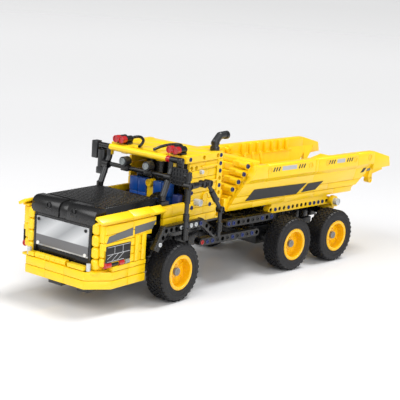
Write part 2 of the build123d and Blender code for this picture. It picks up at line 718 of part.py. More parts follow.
def mirror_left():
    """Square grid panel facing ahead, on the left handrail's front post."""
    panel = box(50, POST_X + 2.4, POST_Y, POST_Y + 3, 119, 137)
    return panel - handrail()


def mirror_right():
    """Tall block and round housing that hang from the right end of the roof tube."""
    block = box(-66, -58, ROOF_TUBE_Y - 4, ROOF_TUBE_Y + 4, 128, 147)
    return block + rod_z(5.2, 112, 138.5, -53.2, ROOF_TUBE_Y)


def steering_wheel():
    """Wheel on a slanted column from the cab's floor, on the left."""
    column = bent_rod(2.0, [(21, -138, CAB_FLOOR_Z1 + 1.2), (21, -124, 98)])
    return column + Pos(21, -124, 98) * Rot(28, 0, 0) * Cylinder(8.5, 2.5)


def write_cab():
    """Hollow cab with its inside and what stands on its roof."""
    write_front("cab_floor", cab_floor())
    pair(write_front, "cab_wall", cab_wall())
    write_front("cab_rear_wall", cab_rear())
    write_front("roof", roof())
    write_front("roof_tube", roof_tube())
    both_sides(write_front, "pillars", pillar())
    seat = box(5, 28, -129, SEAT_BACK_Y, CAB_FLOOR_Z1, 82)
    seat += box(5, 28, SEAT_BACK_Y, SEAT_BACK_Y + 7, CAB_FLOOR_Z1, 112)
    both_sides(write_front, "seats", seat)
    write_front("steering_wheel", steering_wheel())
    write_front("cross_bar", cross_bar())
    both_sides(write_front, "beacons", beacon())
    write_front("mirror_left", mirror_left())
    write_front("mirror_right", mirror_right())
    write_front("exhaust", bent_rod(4.0, [(43, -58, ROOF_Z1), (43, -58, 155), (43, -51, 161), (43, -38, 161.5)]))


write_wheels()
write_rear_frame()
write_cylinder()
write_bed()
write_front("front_frame", front_frame())
write_front("axle_front", axle(FRONT_AXLE_Y))
write_nose()
write_front_sides()
write_cab()
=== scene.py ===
"""Brick-built toy articulated dump truck: looks built around its fixed frame.

Sizes of the sub-assemblies are in millimetres, in the truck's own straight frame: +Z up, nose
towards -Y, the truck's left towards +X, y = 0 near the steering pin. Stand puts a finished piece
where it stands: the front unit is parked turned to the left about the steering pin.
"""

import json
import logging
import math
from dataclasses import dataclass
from enum import Enum
from typing import Callable, Iterable, Optional, Sequence

import bmesh
import bpy
from mathutils import Matrix, Vector


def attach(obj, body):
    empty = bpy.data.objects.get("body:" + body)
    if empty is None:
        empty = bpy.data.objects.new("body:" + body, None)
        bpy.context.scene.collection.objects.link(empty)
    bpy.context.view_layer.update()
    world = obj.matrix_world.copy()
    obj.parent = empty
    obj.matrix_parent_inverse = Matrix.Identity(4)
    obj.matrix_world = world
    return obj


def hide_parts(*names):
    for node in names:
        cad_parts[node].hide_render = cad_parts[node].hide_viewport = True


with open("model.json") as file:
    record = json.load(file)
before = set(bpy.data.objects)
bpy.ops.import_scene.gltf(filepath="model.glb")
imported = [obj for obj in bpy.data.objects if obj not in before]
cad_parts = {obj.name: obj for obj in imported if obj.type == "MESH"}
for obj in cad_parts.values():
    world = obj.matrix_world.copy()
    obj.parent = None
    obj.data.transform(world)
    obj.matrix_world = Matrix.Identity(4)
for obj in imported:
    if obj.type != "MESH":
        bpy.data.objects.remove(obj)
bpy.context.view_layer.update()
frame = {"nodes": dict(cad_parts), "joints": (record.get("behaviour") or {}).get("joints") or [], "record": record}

LOG = logging.getLogger("dump_truck")
MM = 0.001
PITCH = 8.0          # spacing of pin holes and height of a course
PIN_R = 2.4          # pin hole
SEAM = 0.13          # half the gap between two bricks
SMOOTH_ANGLE = 32.0  # degrees between faces that shade as one surface
AXLE_Z = 31.0
Point = tuple[float, float, float]
Colour = tuple[float, float, float]
Outline = Sequence[tuple[float, float]]


# ---- where things stand -------------------------------------------------------------------------
class Side(Enum):
    """The truck's two sides, as the sign of x."""

    LEFT = 1
    RIGHT = -1


class Unit(Enum):
    """The two halves of the truck that the steering pin joins."""

    FRONT = "front_unit"
    REAR = "rear_frame"


@dataclass(frozen=True)
class Stand:
    """Places of the straight truck's pieces in the frame."""

    hitch_y: float = -28.0
    parked_degrees: float = 6.3

    def origin(self) -> Vector:
        """The straight truck's origin in the frame, in metres."""
        pin = next(j for j in frame["joints"] if j["name"] == "articulation")["pos_m"]
        return Vector((pin[0], pin[1] - self.hitch_y * MM, 0.0))

    def matrix(self, unit: Unit) -> Matrix:
        """Takes millimetres of the straight truck to the frame's metres.

        Args:
            unit: the half of the truck that a piece belongs to.

        Returns:
            The matrix to apply to the piece's mesh.
        """
        base = Matrix.Translation(self.origin()) @ Matrix.Scale(MM, 4)
        if unit is Unit.REAR:
            return base
        pin = Matrix.Translation((0.0, self.hitch_y, 0.0))
        turn = Matrix.Rotation(math.radians(self.parked_degrees), 4, "Z")
        return base @ pin @ turn @ pin.inverted()


STAND = Stand()


# ---- finishes -----------------------------------------------------------------------------------
def new_group(name: str, inputs: Sequence[tuple[str, str]], outputs: Sequence[tuple[str, str]]):
    """Starts a shader node group.

    Args:
        name: the group's name.
        inputs: (name, socket type) of each input.
        outputs: (name, socket type) of each output.

    Returns:
        The group, its input node and its output node.
    """
    group = bpy.data.node_groups.new(name, "ShaderNodeTree")
    for label, kind in inputs:
        group.interface.new_socket(label, in_out="INPUT", socket_type=kind)
    for label, kind in outputs:
        group.interface.new_socket(label, in_out="OUTPUT", socket_type=kind)
    return group, group.nodes.new("NodeGroupInput"), group.nodes.new("NodeGroupOutput")


def moulding_group():
    """Colour drift, fine skin and handling marks of moulded plastic."""
    group, given, out = new_group(
        "moulding",
        [("Colour", "NodeSocketColor"), ("Dark", "NodeSocketColor"), ("Drift", "NodeSocketFloat"),
         ("Rough", "NodeSocketFloat"), ("Marks", "NodeSocketFloat")],
        [("Colour", "NodeSocketColor"), ("Rough", "NodeSocketFloat"), ("Height", "NodeSocketFloat")],
    )
    nodes, link = group.nodes, group.links.new
    place = nodes.new("ShaderNodeTexCoord")
    drift = nodes.new("ShaderNodeTexNoise")
    drift.inputs["Scale"].default_value = 32.0
    drift.inputs["Detail"].default_value = 3.0
    link(place.outputs["Object"], drift.inputs["Vector"])
    amount = nodes.new("ShaderNodeMath")
    amount.operation = "MULTIPLY"
    link(drift.outputs["Fac"], amount.inputs[0])
    link(given.outputs["Drift"], amount.inputs[1])
    mix = nodes.new("ShaderNodeMix")
    mix.data_type = "RGBA"
    link(amount.outputs[0], mix.inputs["Factor"])
    link(given.outputs["Colour"], mix.inputs["A"])
    link(given.outputs["Dark"], mix.inputs["B"])
    link(mix.outputs["Result"], out.inputs["Colour"])
    marks = nodes.new("ShaderNodeTexNoise")
    marks.inputs["Scale"].default_value = 420.0
    marks.inputs["Detail"].default_value = 4.0
    link(place.outputs["Object"], marks.inputs["Vector"])
    spread = nodes.new("ShaderNodeMath")
    spread.operation = "MULTIPLY_ADD"
    link(marks.outputs["Fac"], spread.inputs[0])
    link(given.outputs["Marks"], spread.inputs[1])
    link(given.outputs["Rough"], spread.inputs[2])
    link(spread.outputs[0], out.inputs["Rough"])
    skin = nodes.new("ShaderNodeTexNoise")
    skin.inputs["Scale"].default_value = 1400.0
    skin.inputs["Detail"].default_value = 2.0
    link(place.outputs["Object"], skin.inputs["Vector"])
    link(skin.outputs["Fac"], out.inputs["Height"])
    return group


MOULDING = moulding_group()


@dataclass(frozen=True)
class Plastic:
    """A moulded plastic: its colour, gloss and how strongly its surface varies."""

    name: str
    colour: Colour
    slot: str
    rough: float = 0.28
    drift: float = 0.35
    marks: float = 0.12
    coat: float = 0.25
    skin: float = 0.02
    clear: float = 0.0
    gloss: float = 0.5

    def material(self) -> bpy.types.Material:
        """The finish's material, made once."""
        known = bpy.data.materials.get(self.name)
        if known:
            return known
        made = bpy.data.materials.new(self.name)
        made.use_nodes = True
        nodes, link = made.node_tree.nodes, made.node_tree.links.new
        shader = nodes["Principled BSDF"]
        shader.inputs["Coat Weight"].default_value = self.coat
        shader.inputs["Coat Roughness"].default_value = 0.12
        shader.inputs["IOR"].default_value = 1.5
        shader.inputs["Specular IOR Level"].default_value = self.gloss
        shader.inputs["Transmission Weight"].default_value = self.clear
        skin = nodes.new("ShaderNodeGroup")
        skin.node_tree = MOULDING
        skin.inputs["Colour"].default_value = (*self.colour, 1.0)
        skin.inputs["Dark"].default_value = (*[c * 0.72 for c in self.colour], 1.0)
        skin.inputs["Drift"].default_value = self.drift
        skin.inputs["Rough"].default_value = self.rough
        skin.inputs["Marks"].default_value = self.marks
        link(skin.outputs["Colour"], shader.inputs["Base Color"])
        link(skin.outputs["Rough"], shader.inputs["Roughness"])
        bump = nodes.new("ShaderNodeBump")
        bump.inputs["Strength"].default_value = self.skin
        bump.inputs["Distance"].default_value = 0.0004
        link(skin.outputs["Height"], bump.inputs["Height"])
        link(bump.outputs["Normal"], shader.inputs["Normal"])
        return made


YELLOW = Plastic("yellow_abs", (0.89, 0.57, 0.003), "yellow_plastic", rough=0.26, drift=0.3, coat=0.1)
DEEP_YELLOW = Plastic("rim_yellow", (0.9, 0.5, 0.002), "yellow_plastic", rough=0.2, drift=0.35)
BLACK = Plastic("black_abs", (0.0035, 0.0035, 0.004), "black_plastic", rough=0.22, drift=0.6, coat=0.0)
CHARCOAL = Plastic("dark_grey_abs", (0.014, 0.015, 0.017), "dark_grey_plastic", rough=0.26, coat=0.0)
AXLE_GREY = Plastic("axle_grey_abs", (0.2, 0.205, 0.21), "light_grey_plastic", rough=0.3)
LIGHT_GREY = Plastic("light_grey_abs", (0.52, 0.54, 0.55), "light_grey_plastic", rough=0.27)
BLUE = Plastic("blue_abs", (0.006, 0.075, 0.36), "blue_plastic", rough=0.26)
PIN_BLUE = Plastic("pin_blue", (0.006, 0.02, 0.13), "blue_plastic", rough=0.3)
TAN = Plastic("tan_abs", (0.5, 0.42, 0.24), "light_grey_plastic", rough=0.3)
WHITE = Plastic("white_abs", (0.8, 0.8, 0.78), "light_grey_plastic", rough=0.28)
RED_CLEAR = Plastic("red_clear_abs", (0.62, 0.004, 0.008), "red_clear", rough=0.12, clear=0.35, coat=0.6)
CLEAR = Plastic("clear_lens", (0.42, 0.47, 0.48), "light_grey_plastic", rough=0.08, clear=0.55, coat=0.6)
STICKER_BLACK = Plastic("black_film", (0.006, 0.006, 0.007), "black_plastic", rough=0.42, coat=0.05)
STICKER_GREY = Plastic("grey_film", (0.11, 0.115, 0.12), "dark_grey_plastic", rough=0.4, coat=0.05)
STICKER_PALE = Plastic("pale_film", (0.42, 0.43, 0.44), "silver_print", rough=0.4, coat=0.05)
RUBBER = Plastic("tyre_rubber_mould", (0.006, 0.006, 0.0075), "tyre_rubber", rough=0.42, drift=0.7,
                 marks=0.25, coat=0.0, skin=0.25, gloss=0.4)


@dataclass(frozen=True)
class PlateWithPaintedReflections:
    """Silver printed plate with painted pale slanting reflections and a darker band near its foot."""

    name: str = "silver_plate"
    slot: str = "silver_print"
    foot_m: float = 0.0615
    band_m: float = 0.0045

    def material(self) -> bpy.types.Material:
        """The plate's material, made once."""
        known = bpy.data.materials.get(self.name)
        if known:
            return known
        made = bpy.data.materials.new(self.name)
        made.use_nodes = True
        nodes, link = made.node_tree.nodes, made.node_tree.links.new
        shader = nodes["Principled BSDF"]
        shader.inputs["Metallic"].default_value = 0.35
        place = nodes.new("ShaderNodeTexCoord")
        parts = nodes.new("ShaderNodeSeparateXYZ")
        link(place.outputs["Object"], parts.inputs["Vector"])
        height = nodes.new("ShaderNodeMath")
        height.operation = "SUBTRACT"
        height.inputs[1].default_value = self.foot_m
        link(parts.outputs["Z"], height.inputs[0])
        away = nodes.new("ShaderNodeMath")
        away.operation = "ABSOLUTE"
        link(height.outputs[0], away.inputs[0])
        band = nodes.new("ShaderNodeMapRange")
        band.inputs["From Min"].default_value = self.band_m
        band.inputs["From Max"].default_value = self.band_m * 1.15
        link(away.outputs[0], band.inputs["Value"])
        # Painted reflections: pale slanting streaks painted into the plate's base colour.
        slant = nodes.new("ShaderNodeMath")
        slant.operation = "MULTIPLY_ADD"
        slant.inputs[1].default_value = -1.4
        link(parts.outputs["Z"], slant.inputs[0])
        link(parts.outputs["X"], slant.inputs[2])
        wave = nodes.new("ShaderNodeMath")
        wave.operation = "PINGPONG"
        wave.inputs[1].default_value = 0.021
        link(slant.outputs[0], wave.inputs[0])
        painted_reflection = nodes.new("ShaderNodeValToRGB")
        painted_reflection.color_ramp.elements[0].position = 0.0
        painted_reflection.color_ramp.elements[0].color = (0.3, 0.31, 0.32, 1.0)
        painted_reflection.color_ramp.elements[1].position = 1.0
        painted_reflection.color_ramp.elements[1].color = (0.56, 0.57, 0.58, 1.0)
        grow = nodes.new("ShaderNodeMath")
        grow.operation = "MULTIPLY"
        grow.inputs[1].default_value = 47.0
        link(wave.outputs[0], grow.inputs[0])
        link(grow.outputs[0], painted_reflection.inputs["Fac"])
        mix = nodes.new("ShaderNodeMix")
        mix.data_type = "RGBA"
        mix.inputs["A"].default_value = (0.13, 0.13, 0.135, 1.0)
        link(band.outputs["Result"], mix.inputs["Factor"])
        link(painted_reflection.outputs["Color"], mix.inputs["B"])
        link(mix.outputs["Result"], shader.inputs["Base Color"])
        grain = nodes.new("ShaderNodeTexNoise")
        grain.inputs["Scale"].default_value = 900.0
        link(place.outputs["Object"], grain.inputs["Vector"])
        rough = nodes.new("ShaderNodeMapRange")
        rough.inputs["To Min"].default_value = 0.22
        rough.inputs["To Max"].default_value = 0.42
        link(grain.outputs["Fac"], rough.inputs["Value"])
        link(rough.outputs["Result"], shader.inputs["Roughness"])
        return made


SILVER = PlateWithPaintedReflections()


# ---- modelling moves ----------------------------------------------------------------------------
Finish = Plastic | PlateWithPaintedReflections
FaceTest = Callable[[bmesh.types.BMFace], bool]
EdgeTest = Callable[[bmesh.types.BMEdge], bool]


def clear_selection() -> None:
    """Nothing is selected."""
    for obj in bpy.context.selected_objects:
        obj.select_set(False)


def only(obj: bpy.types.Object) -> bpy.types.Object:
    """Makes obj the one selected and active object."""
    clear_selection()
    obj.select_set(True)
    bpy.context.view_layer.objects.active = obj
    return obj


def pick_faces(obj: bpy.types.Object, test: FaceTest) -> None:
    """Selects the faces that pass a test, in edit mode.

    Args:
        obj: the object being edited.
        test: says whether a face is picked.
    """
    mesh = bmesh.from_edit_mesh(obj.data)
    bpy.ops.mesh.select_mode(type="FACE")
    for face in mesh.faces:
        face.select = test(face)
    mesh.select_flush_mode()
    bmesh.update_edit_mesh(obj.data)


def bevel_edges(obj: bpy.types.Object, test: EdgeTest, width: float, segments: int) -> None:
    """Bevels the edges that pass a test, in edit mode.

    Args:
        obj: the object being edited.
        test: says whether an edge is bevelled.
        width: width of the bevel.
        segments: steps across it.
    """
    mesh = bmesh.from_edit_mesh(obj.data)
    bpy.ops.mesh.select_mode(type="EDGE")
    for edge in mesh.edges:
        edge.select = test(edge)
    mesh.select_flush_mode()
    bmesh.update_edit_mesh(obj.data)
    bpy.ops.mesh.bevel(offset=width, segments=segments, affect="EDGES")


def block(low: Point, high: Point, bevel: float = 0.4, segments: int = 2) -> bpy.types.Object:
    """A rounded block between two corners.

    Args:
        low: lowest corner.
        high: highest corner.
        bevel: width of its rounded edges.
        segments: steps round each edge.

    Returns:
        The block, its place in its mesh.
    """
    clear_selection()
    bpy.ops.mesh.primitive_cube_add(size=1.0)
    obj = bpy.context.active_object
    size = [h - l for l, h in zip(low, high)]
    middle = [(h + l) / 2 for l, h in zip(low, high)]
    bpy.ops.object.mode_set(mode="EDIT")
    bpy.ops.mesh.select_all(action="SELECT")
    bpy.ops.transform.resize(value=size, center_override=(0, 0, 0))
    bpy.ops.transform.translate(value=middle)
    if bevel > 0:
        bpy.ops.mesh.bevel(offset=bevel, segments=segments, affect="EDGES")
    bpy.ops.object.mode_set(mode="OBJECT")
    return obj


AXIS_TURN = {
    "X": Matrix.Rotation(math.radians(90), 4, "Y"),
    "Y": Matrix.Rotation(math.radians(-90), 4, "X"),
    "Z": Matrix.Identity(4),
}


def drum(radius: float, depth: float, at: Point, axis: str = "X", sides: int = 24,
         bevel: float = 0.3) -> bpy.types.Object:
    """A round bar with eased ends.

    Args:
        radius: its radius.
        depth: its length along the axis.
        at: its middle.
        axis: X, Y or Z.
        sides: faces round it.
        bevel: width of its eased ends.

    Returns:
        The bar.
    """
    clear_selection()
    bpy.ops.mesh.primitive_cylinder_add(vertices=sides, radius=radius, depth=depth)
    obj = bpy.context.active_object
    bpy.ops.object.mode_set(mode="EDIT")
    if bevel > 0:
        pick_faces(obj, lambda f: abs(f.normal.z) > 0.9)
        bpy.ops.mesh.inset(thickness=bevel, depth=0.0)
        bpy.ops.transform.resize(value=(1, 1, 1 + 2 * bevel / depth))
    bpy.ops.object.mode_set(mode="OBJECT")
    obj.data.transform(Matrix.Translation(at) @ AXIS_TURN[axis])
    return obj


def cup(radius: float, depth: float, at: Point, axis: str, wall: float, sink: float,
        sides: int = 20) -> bpy.types.Object:
    """A round bar with a sunk face at its far end: a pin's head, bush or lamp.

    Args:
        radius: its radius.
        depth: its length along the axis.
        at: its middle.
        axis: X, Y or Z.
        wall: thickness of the wall left round the sunk face.
        sink: how deep the face is sunk.
        sides: faces round it.

    Returns:
        The bar.
    """
    clear_selection()
    bpy.ops.mesh.primitive_cylinder_add(vertices=sides, radius=radius, depth=depth)
    obj = bpy.context.active_object
    bpy.ops.object.mode_set(mode="EDIT")
    for sign in (1, -1):
        pick_faces(obj, lambda f: f.normal.z * sign > 0.9)
        bpy.ops.mesh.inset(thickness=wall, depth=0.0)
        bpy.ops.mesh.inset(thickness=0.05, depth=-sink)
    bpy.ops.object.mode_set(mode="OBJECT")
    obj.data.transform(Matrix.Translation(at) @ AXIS_TURN[axis])
    return obj


def duplicate(obj: bpy.types.Object, move: Matrix) -> bpy.types.Object:
    """A copy of obj with its own mesh, moved."""
    twin = obj.copy()
    twin.data = obj.data.copy()
    twin.data.transform(move)
    bpy.context.scene.collection.objects.link(twin)
    return twin


def joined(pieces: Sequence[bpy.types.Object]) -> bpy.types.Object:
    """Several objects made one."""
    clear_selection()
    for piece in pieces:
        piece.select_set(True)
    bpy.context.view_layer.objects.active = pieces[0]
    if len(pieces) > 1:
        bpy.ops.object.join()
    return pieces[0]


def repeated(obj: bpy.types.Object, spots: Iterable[Point]) -> bpy.types.Object:
    """Copies of a piece made about the origin, at each spot, as one object."""
    made = [duplicate(obj, Matrix.Translation(spot)) for spot in spots]
    bpy.data.objects.remove(obj)
    return joined(made)


def mirrored(obj: bpy.types.Object) -> bpy.types.Object:
    """A copy of obj on the truck's other side, its faces outward."""
    twin = duplicate(obj, Matrix.Scale(-1, 4, (1, 0, 0)))
    only(twin)
    bpy.ops.object.mode_set(mode="EDIT")
    bpy.ops.mesh.select_all(action="SELECT")
    bpy.ops.mesh.flip_normals()
    bpy.ops.object.mode_set(mode="OBJECT")
    return twin


def both_sides(obj: bpy.types.Object) -> bpy.types.Object:
    """A left piece and its mirror image as one object."""
    return joined([obj, mirrored(obj)])


def leaning(at: Point, degrees: float) -> Matrix:
    """Takes a piece made about the origin to a spot, turned about x."""
    return Matrix.Translation(at) @ Matrix.Rotation(math.radians(degrees), 4, "X")


def eased(obj: bpy.types.Object, width: float) -> bpy.types.Object:
    """Rounds the sharp edges of a piece with a bevel."""
    only(obj)
    ease = obj.modifiers.new("ease", "BEVEL")
    ease.width = width
    ease.segments = 2
    ease.limit_method = "ANGLE"
    bpy.ops.object.modifier_apply(modifier=ease.name)
    return obj


def sorted_block(a: Point, b: Point, bevel: float) -> bpy.types.Object:
    """A rounded block between any two opposite corners."""
    low, high = zip(*(sorted(pair) for pair in zip(a, b)))
    return block(low, high, bevel)


def trimmed(obj: bpy.types.Object, point: Point, normal: Point) -> bpy.types.Object:
    """Cuts away what lies on the side of a plane that its normal points to."""
    only(obj)
    bpy.ops.object.mode_set(mode="EDIT")
    bpy.ops.mesh.select_all(action="SELECT")
    bpy.ops.mesh.bisect(plane_co=point, plane_no=normal, use_fill=True, clear_outer=True)
    bpy.ops.object.mode_set(mode="OBJECT")
    return obj


def drilled(obj: bpy.types.Object, cutter: bpy.types.Object) -> bpy.types.Object:
    """Takes the cutter's shape out of obj."""
    only(obj)
    cut = obj.modifiers.new("holes", "BOOLEAN")
    cut.object = cutter
    cut.solver = "EXACT"
    cut.use_self = True
    bpy.ops.object.modifier_apply(modifier=cut.name)
    bpy.data.objects.remove(cutter)
    return obj


def slanted_plate(outline: Outline, x: float, rise: float = 0.25) -> bpy.types.Object:
    """A plate or sticker with a straight-sided (y, z) outline, facing +x.

    Args:
        outline: four corners in order.
        x: the face that it lies on.
        rise: its thickness.

    Returns:
        The plate.
    """
    clear_selection()
    bpy.ops.mesh.primitive_plane_add(size=1.0)
    obj = bpy.context.active_object
    corners = [Vector((x, y, z)) for y, z in outline]
    for vert, which in zip(obj.data.vertices, (0, 1, 3, 2)):
        vert.co = corners[which]
    bpy.ops.object.mode_set(mode="EDIT")
    bpy.ops.mesh.select_all(action="SELECT")
    bpy.ops.mesh.normals_make_consistent(inside=False)
    bpy.ops.mesh.subdivide(number_cuts=1)
    bpy.ops.mesh.extrude_region_move(TRANSFORM_OT_translate={"value": (rise, 0, 0)})
    bpy.ops.mesh.select_all(action="SELECT")
    bpy.ops.mesh.normals_make_consistent(inside=False)
    bpy.ops.object.mode_set(mode="OBJECT")
    return obj


def pin_head(radius: float = 2.25, length: float = 3.0) -> bpy.types.Object:
    """A pin's sunk head along x, about the origin."""
    return cup(radius, length, (0, 0, 0), "X", 0.7, 0.9, 16)


def holes_x(spots: Iterable[Point], depth: float = 12.0, radius: float = PIN_R) -> bpy.types.Object:
    """Cutter for pin holes along x at the spots."""
    made = [drum(radius, depth, spot, "X", 14, 0.0) for spot in spots]
    return joined(made)


def finish(obj: bpy.types.Object, name: str, look: Finish, unit: Unit, body: Optional[str] = None,
           stands_for: Sequence[str] = ()) -> bpy.types.Object:
    """Names a piece, gives it its finish, puts it where it stands and rides it on its body.

    Args:
        obj: the modelled piece, in the straight truck's millimetres.
        name: the piece's name.
        look: its finish.
        unit: the half of the truck it belongs to.
        body: the frame's body, if not the unit's own.
        stands_for: the frame's nodes that it replaces.

    Returns:
        The finished piece.
    """
    obj.name = name
    obj.data.name = name
    obj.data.transform(STAND.matrix(unit))
    obj.data.materials.clear()
    obj.data.materials.append(look.material())
    only(obj)
    bpy.ops.object.shade_smooth_by_angle(angle=math.radians(SMOOTH_ANGLE))
    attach(obj, body or unit.value)
    if stands_for:
        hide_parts(*stands_for)
    LOG.info("%s: %d faces", name, len(obj.data.polygons))
    return obj


def course(x: tuple[float, float], ys: Sequence[float], z: tuple[float, float],
           bevel: float = 0.4) -> list[bpy.types.Object]:
    """One course of bricks along y, split at the given y."""
    low, high = z[0] + SEAM, z[1] - SEAM
    return [block((x[0], a + SEAM, low), (x[1], b - SEAM, high), bevel) for a, b in zip(ys, ys[1:])]


# ---- wheels -------------------------------------------------------------------------------------
@dataclass
class Wheel:
    """A tyre with block tread, a rim with a raised lip and the axle's bush."""

    radius: float = 31.0
    width: float = 24.0
    rim_radius: float = 18.5
    block_height: float = 1.1
    segments: int = 64
    rows: int = 6
    shoulder: float = 2.6
    hole_ring: float = 10.0

    def tyre(self) -> bpy.types.Object:
        """The tyre about the x axis at the origin."""
        clear_selection()
        half = self.width / 2
        bpy.ops.mesh.primitive_cylinder_add(
            vertices=self.segments, radius=self.radius - self.block_height, depth=self.width - 0.9)
        obj = bpy.context.active_object
        bpy.ops.object.mode_set(mode="EDIT")
        pick_faces(obj, lambda f: abs(f.normal.z) > 0.9)
        bpy.ops.mesh.bevel(offset=self.shoulder, segments=3, affect="EDGES")
        pick_faces(obj, lambda f: abs(f.normal.z) > 0.98)
        for thickness, depth in ((1.6, 0.0), (0.5, 0.35), (0.9, 0.0), (0.5, -0.35), (3.2, 0.0), (0.4, 0.3),
                                 (0.5, 0.0), (0.4, -0.3)):
            bpy.ops.mesh.inset(thickness=thickness, depth=depth)
        reach = self.radius - self.block_height - self.shoulder - 8.0
        rest = max(0.3, reach - self.rim_radius - 0.15)
        bpy.ops.mesh.inset(thickness=rest, depth=-0.6)
        bpy.ops.mesh.bridge_edge_loops()
        for i in range(1, self.rows):
            bpy.ops.mesh.select_all(action="SELECT")
            z = -half + self.shoulder + i * (self.width - 2 * self.shoulder) / self.rows
            bpy.ops.mesh.bisect(plane_co=(0, 0, z), plane_no=(0, 0, 1))
        self.raise_blocks(obj)
        bpy.ops.mesh.select_all(action="SELECT")
        bpy.ops.mesh.normals_make_consistent(inside=False)
        bpy.ops.object.mode_set(mode="OBJECT")
        obj.data.transform(AXIS_TURN["X"])
        return obj

    def raise_blocks(self, obj: bpy.types.Object) -> None:
        """Raises staggered blocks over the tread, with grooves between them.

        Args:
            obj: the tyre, in edit mode, its axis along z.
        """
        band = (self.width - 2 * self.shoulder) / self.rows
        edge = self.width / 2 - self.shoulder
        core = self.radius - self.block_height

        def on_tread(face: bmesh.types.BMFace) -> bool:
            spot = face.calc_center_median()
            out = math.hypot(spot.x, spot.y)
            if abs(face.normal.z) > 0.2 or out < core - 0.2 or abs(spot.z) > edge:
                return False
            row = int((spot.z + self.width / 2 - self.shoulder) / band)
            turn = math.atan2(spot.y, spot.x) / (2 * math.pi) * self.segments
            return (int(turn + 1000) + row) % 2 == 0 or row in (0, self.rows - 1)

        def on_shoulder(face: bmesh.types.BMFace) -> bool:
            spot = face.calc_center_median()
            turn = math.atan2(spot.y, spot.x) / (2 * math.pi) * self.segments
            outer = math.hypot(spot.x, spot.y) > core - 3.2
            return outer and 0.2 < abs(face.normal.z) < 0.9 and int(turn + 1000) % 2 == 0

        pick_faces(obj, on_shoulder)
        bpy.ops.mesh.inset(thickness=0.2, depth=0.0)
        bpy.ops.mesh.inset(thickness=0.1, depth=0.7)
        pick_faces(obj, on_tread)
        bpy.ops.mesh.inset(thickness=0.3, depth=0.0, use_individual=True)
        bpy.ops.mesh.inset(thickness=0.1, depth=self.block_height, use_individual=True)

    def lip(self) -> bpy.types.Object:
        """Raised bead round both faces of the rim."""
        made = []
        for side in (1, -1):
            clear_selection()
            bpy.ops.mesh.primitive_torus_add(major_radius=16.9, minor_radius=1.0, major_segments=48,
                                             minor_segments=10)
            ring = bpy.context.active_object
            ring.data.transform(Matrix.Translation((side * 10.8, 0, 0)) @ AXIS_TURN["X"])
            made.append(ring)
        return joined(made)

    def spokes(self) -> bpy.types.Object:
        """Ribs and a raised hub ring on the floor of the rim's dish, on both faces."""
        made = []
        for side in (1, -1):
            made.append(cup(6.6, 2.4, (side * 2.6, 0, 0), "X", 1.0, 0.8))
            for i in range(6):
                angle = math.radians(60 * i)
                at = (side * 1.7, self.hole_ring * math.cos(angle), self.hole_ring * math.sin(angle))
                made.append(cup(3.4, 1.8, at, "X", 0.8, 1.7, 16))
            for i in range(6):
                rib = block((side * 1.9 - 0.9, 6.0, -0.6), (side * 1.9 + 0.9, 15.2, 0.6), 0.25)
                rib.data.transform(Matrix.Rotation(math.radians(60 * i + 30), 4, "X"))
                made.append(rib)
        return joined(made)

    def bores(self) -> bpy.types.Object:
        """Black discs at the bottoms of the six pin holes, on both faces: painted shade in the holes."""
        made = []
        for side in (1, -1):
            for i in range(6):
                angle = math.radians(60 * i)
                at = (side * 0.2, self.hole_ring * math.cos(angle), self.hole_ring * math.sin(angle))
                made.append(cup(2.5, 2.2, at, "X", 0.4, 0.3, 14))
        return joined(made)

    def bush(self) -> bpy.types.Object:
        """Light grey bush with the cross-shaped end of the axle, on the outer face."""
        made = [cup(4.15, 2.8, (5.2, 0, 0), "X", 1.1, 1.6)]
        made.append(block((4.6, -2.2, -0.7), (6.9, 2.2, 0.7), 0.3))
        made.append(block((4.6, -0.7, -2.2), (6.9, 0.7, 2.2), 0.3))
        return joined(made)

    def build(self) -> None:
        """All six wheels."""
        # The black discs in the rim's pin holes are painted shade, standing in for the holes' depth.
        patterns = {"tyre": self.tyre(), "lip": self.lip(), "spokes": self.spokes(), "bush": self.bush(),
                    "bores": self.bores()}
        looks = {"tyre": RUBBER, "lip": DEEP_YELLOW, "spokes": DEEP_YELLOW, "bush": AXLE_GREY, "bores": BLACK}
        for joint in frame["joints"]:
            if not joint["name"].endswith("_wheel_spin"):
                continue
            body = joint["child"]
            place = body.replace("wheel_", "")
            unit = Unit.FRONT if "front" in place else Unit.REAR
            spot = STAND.matrix(unit).inverted() @ Vector(joint["pos_m"])
            facing = 1 if place.endswith("left") else -1
            for part, pattern in patterns.items():
                move = Matrix.Translation(spot)
                if facing < 0:
                    move = move @ Matrix.Rotation(math.pi, 4, "Z")
                piece = duplicate(pattern, move)
                swap = [f"tyre_{place}"] if part == "tyre" else []
                finish(piece, f"wheel_{part}_{place}", looks[part], unit, body, swap)
        for pattern in patterns.values():
            bpy.data.objects.remove(pattern)


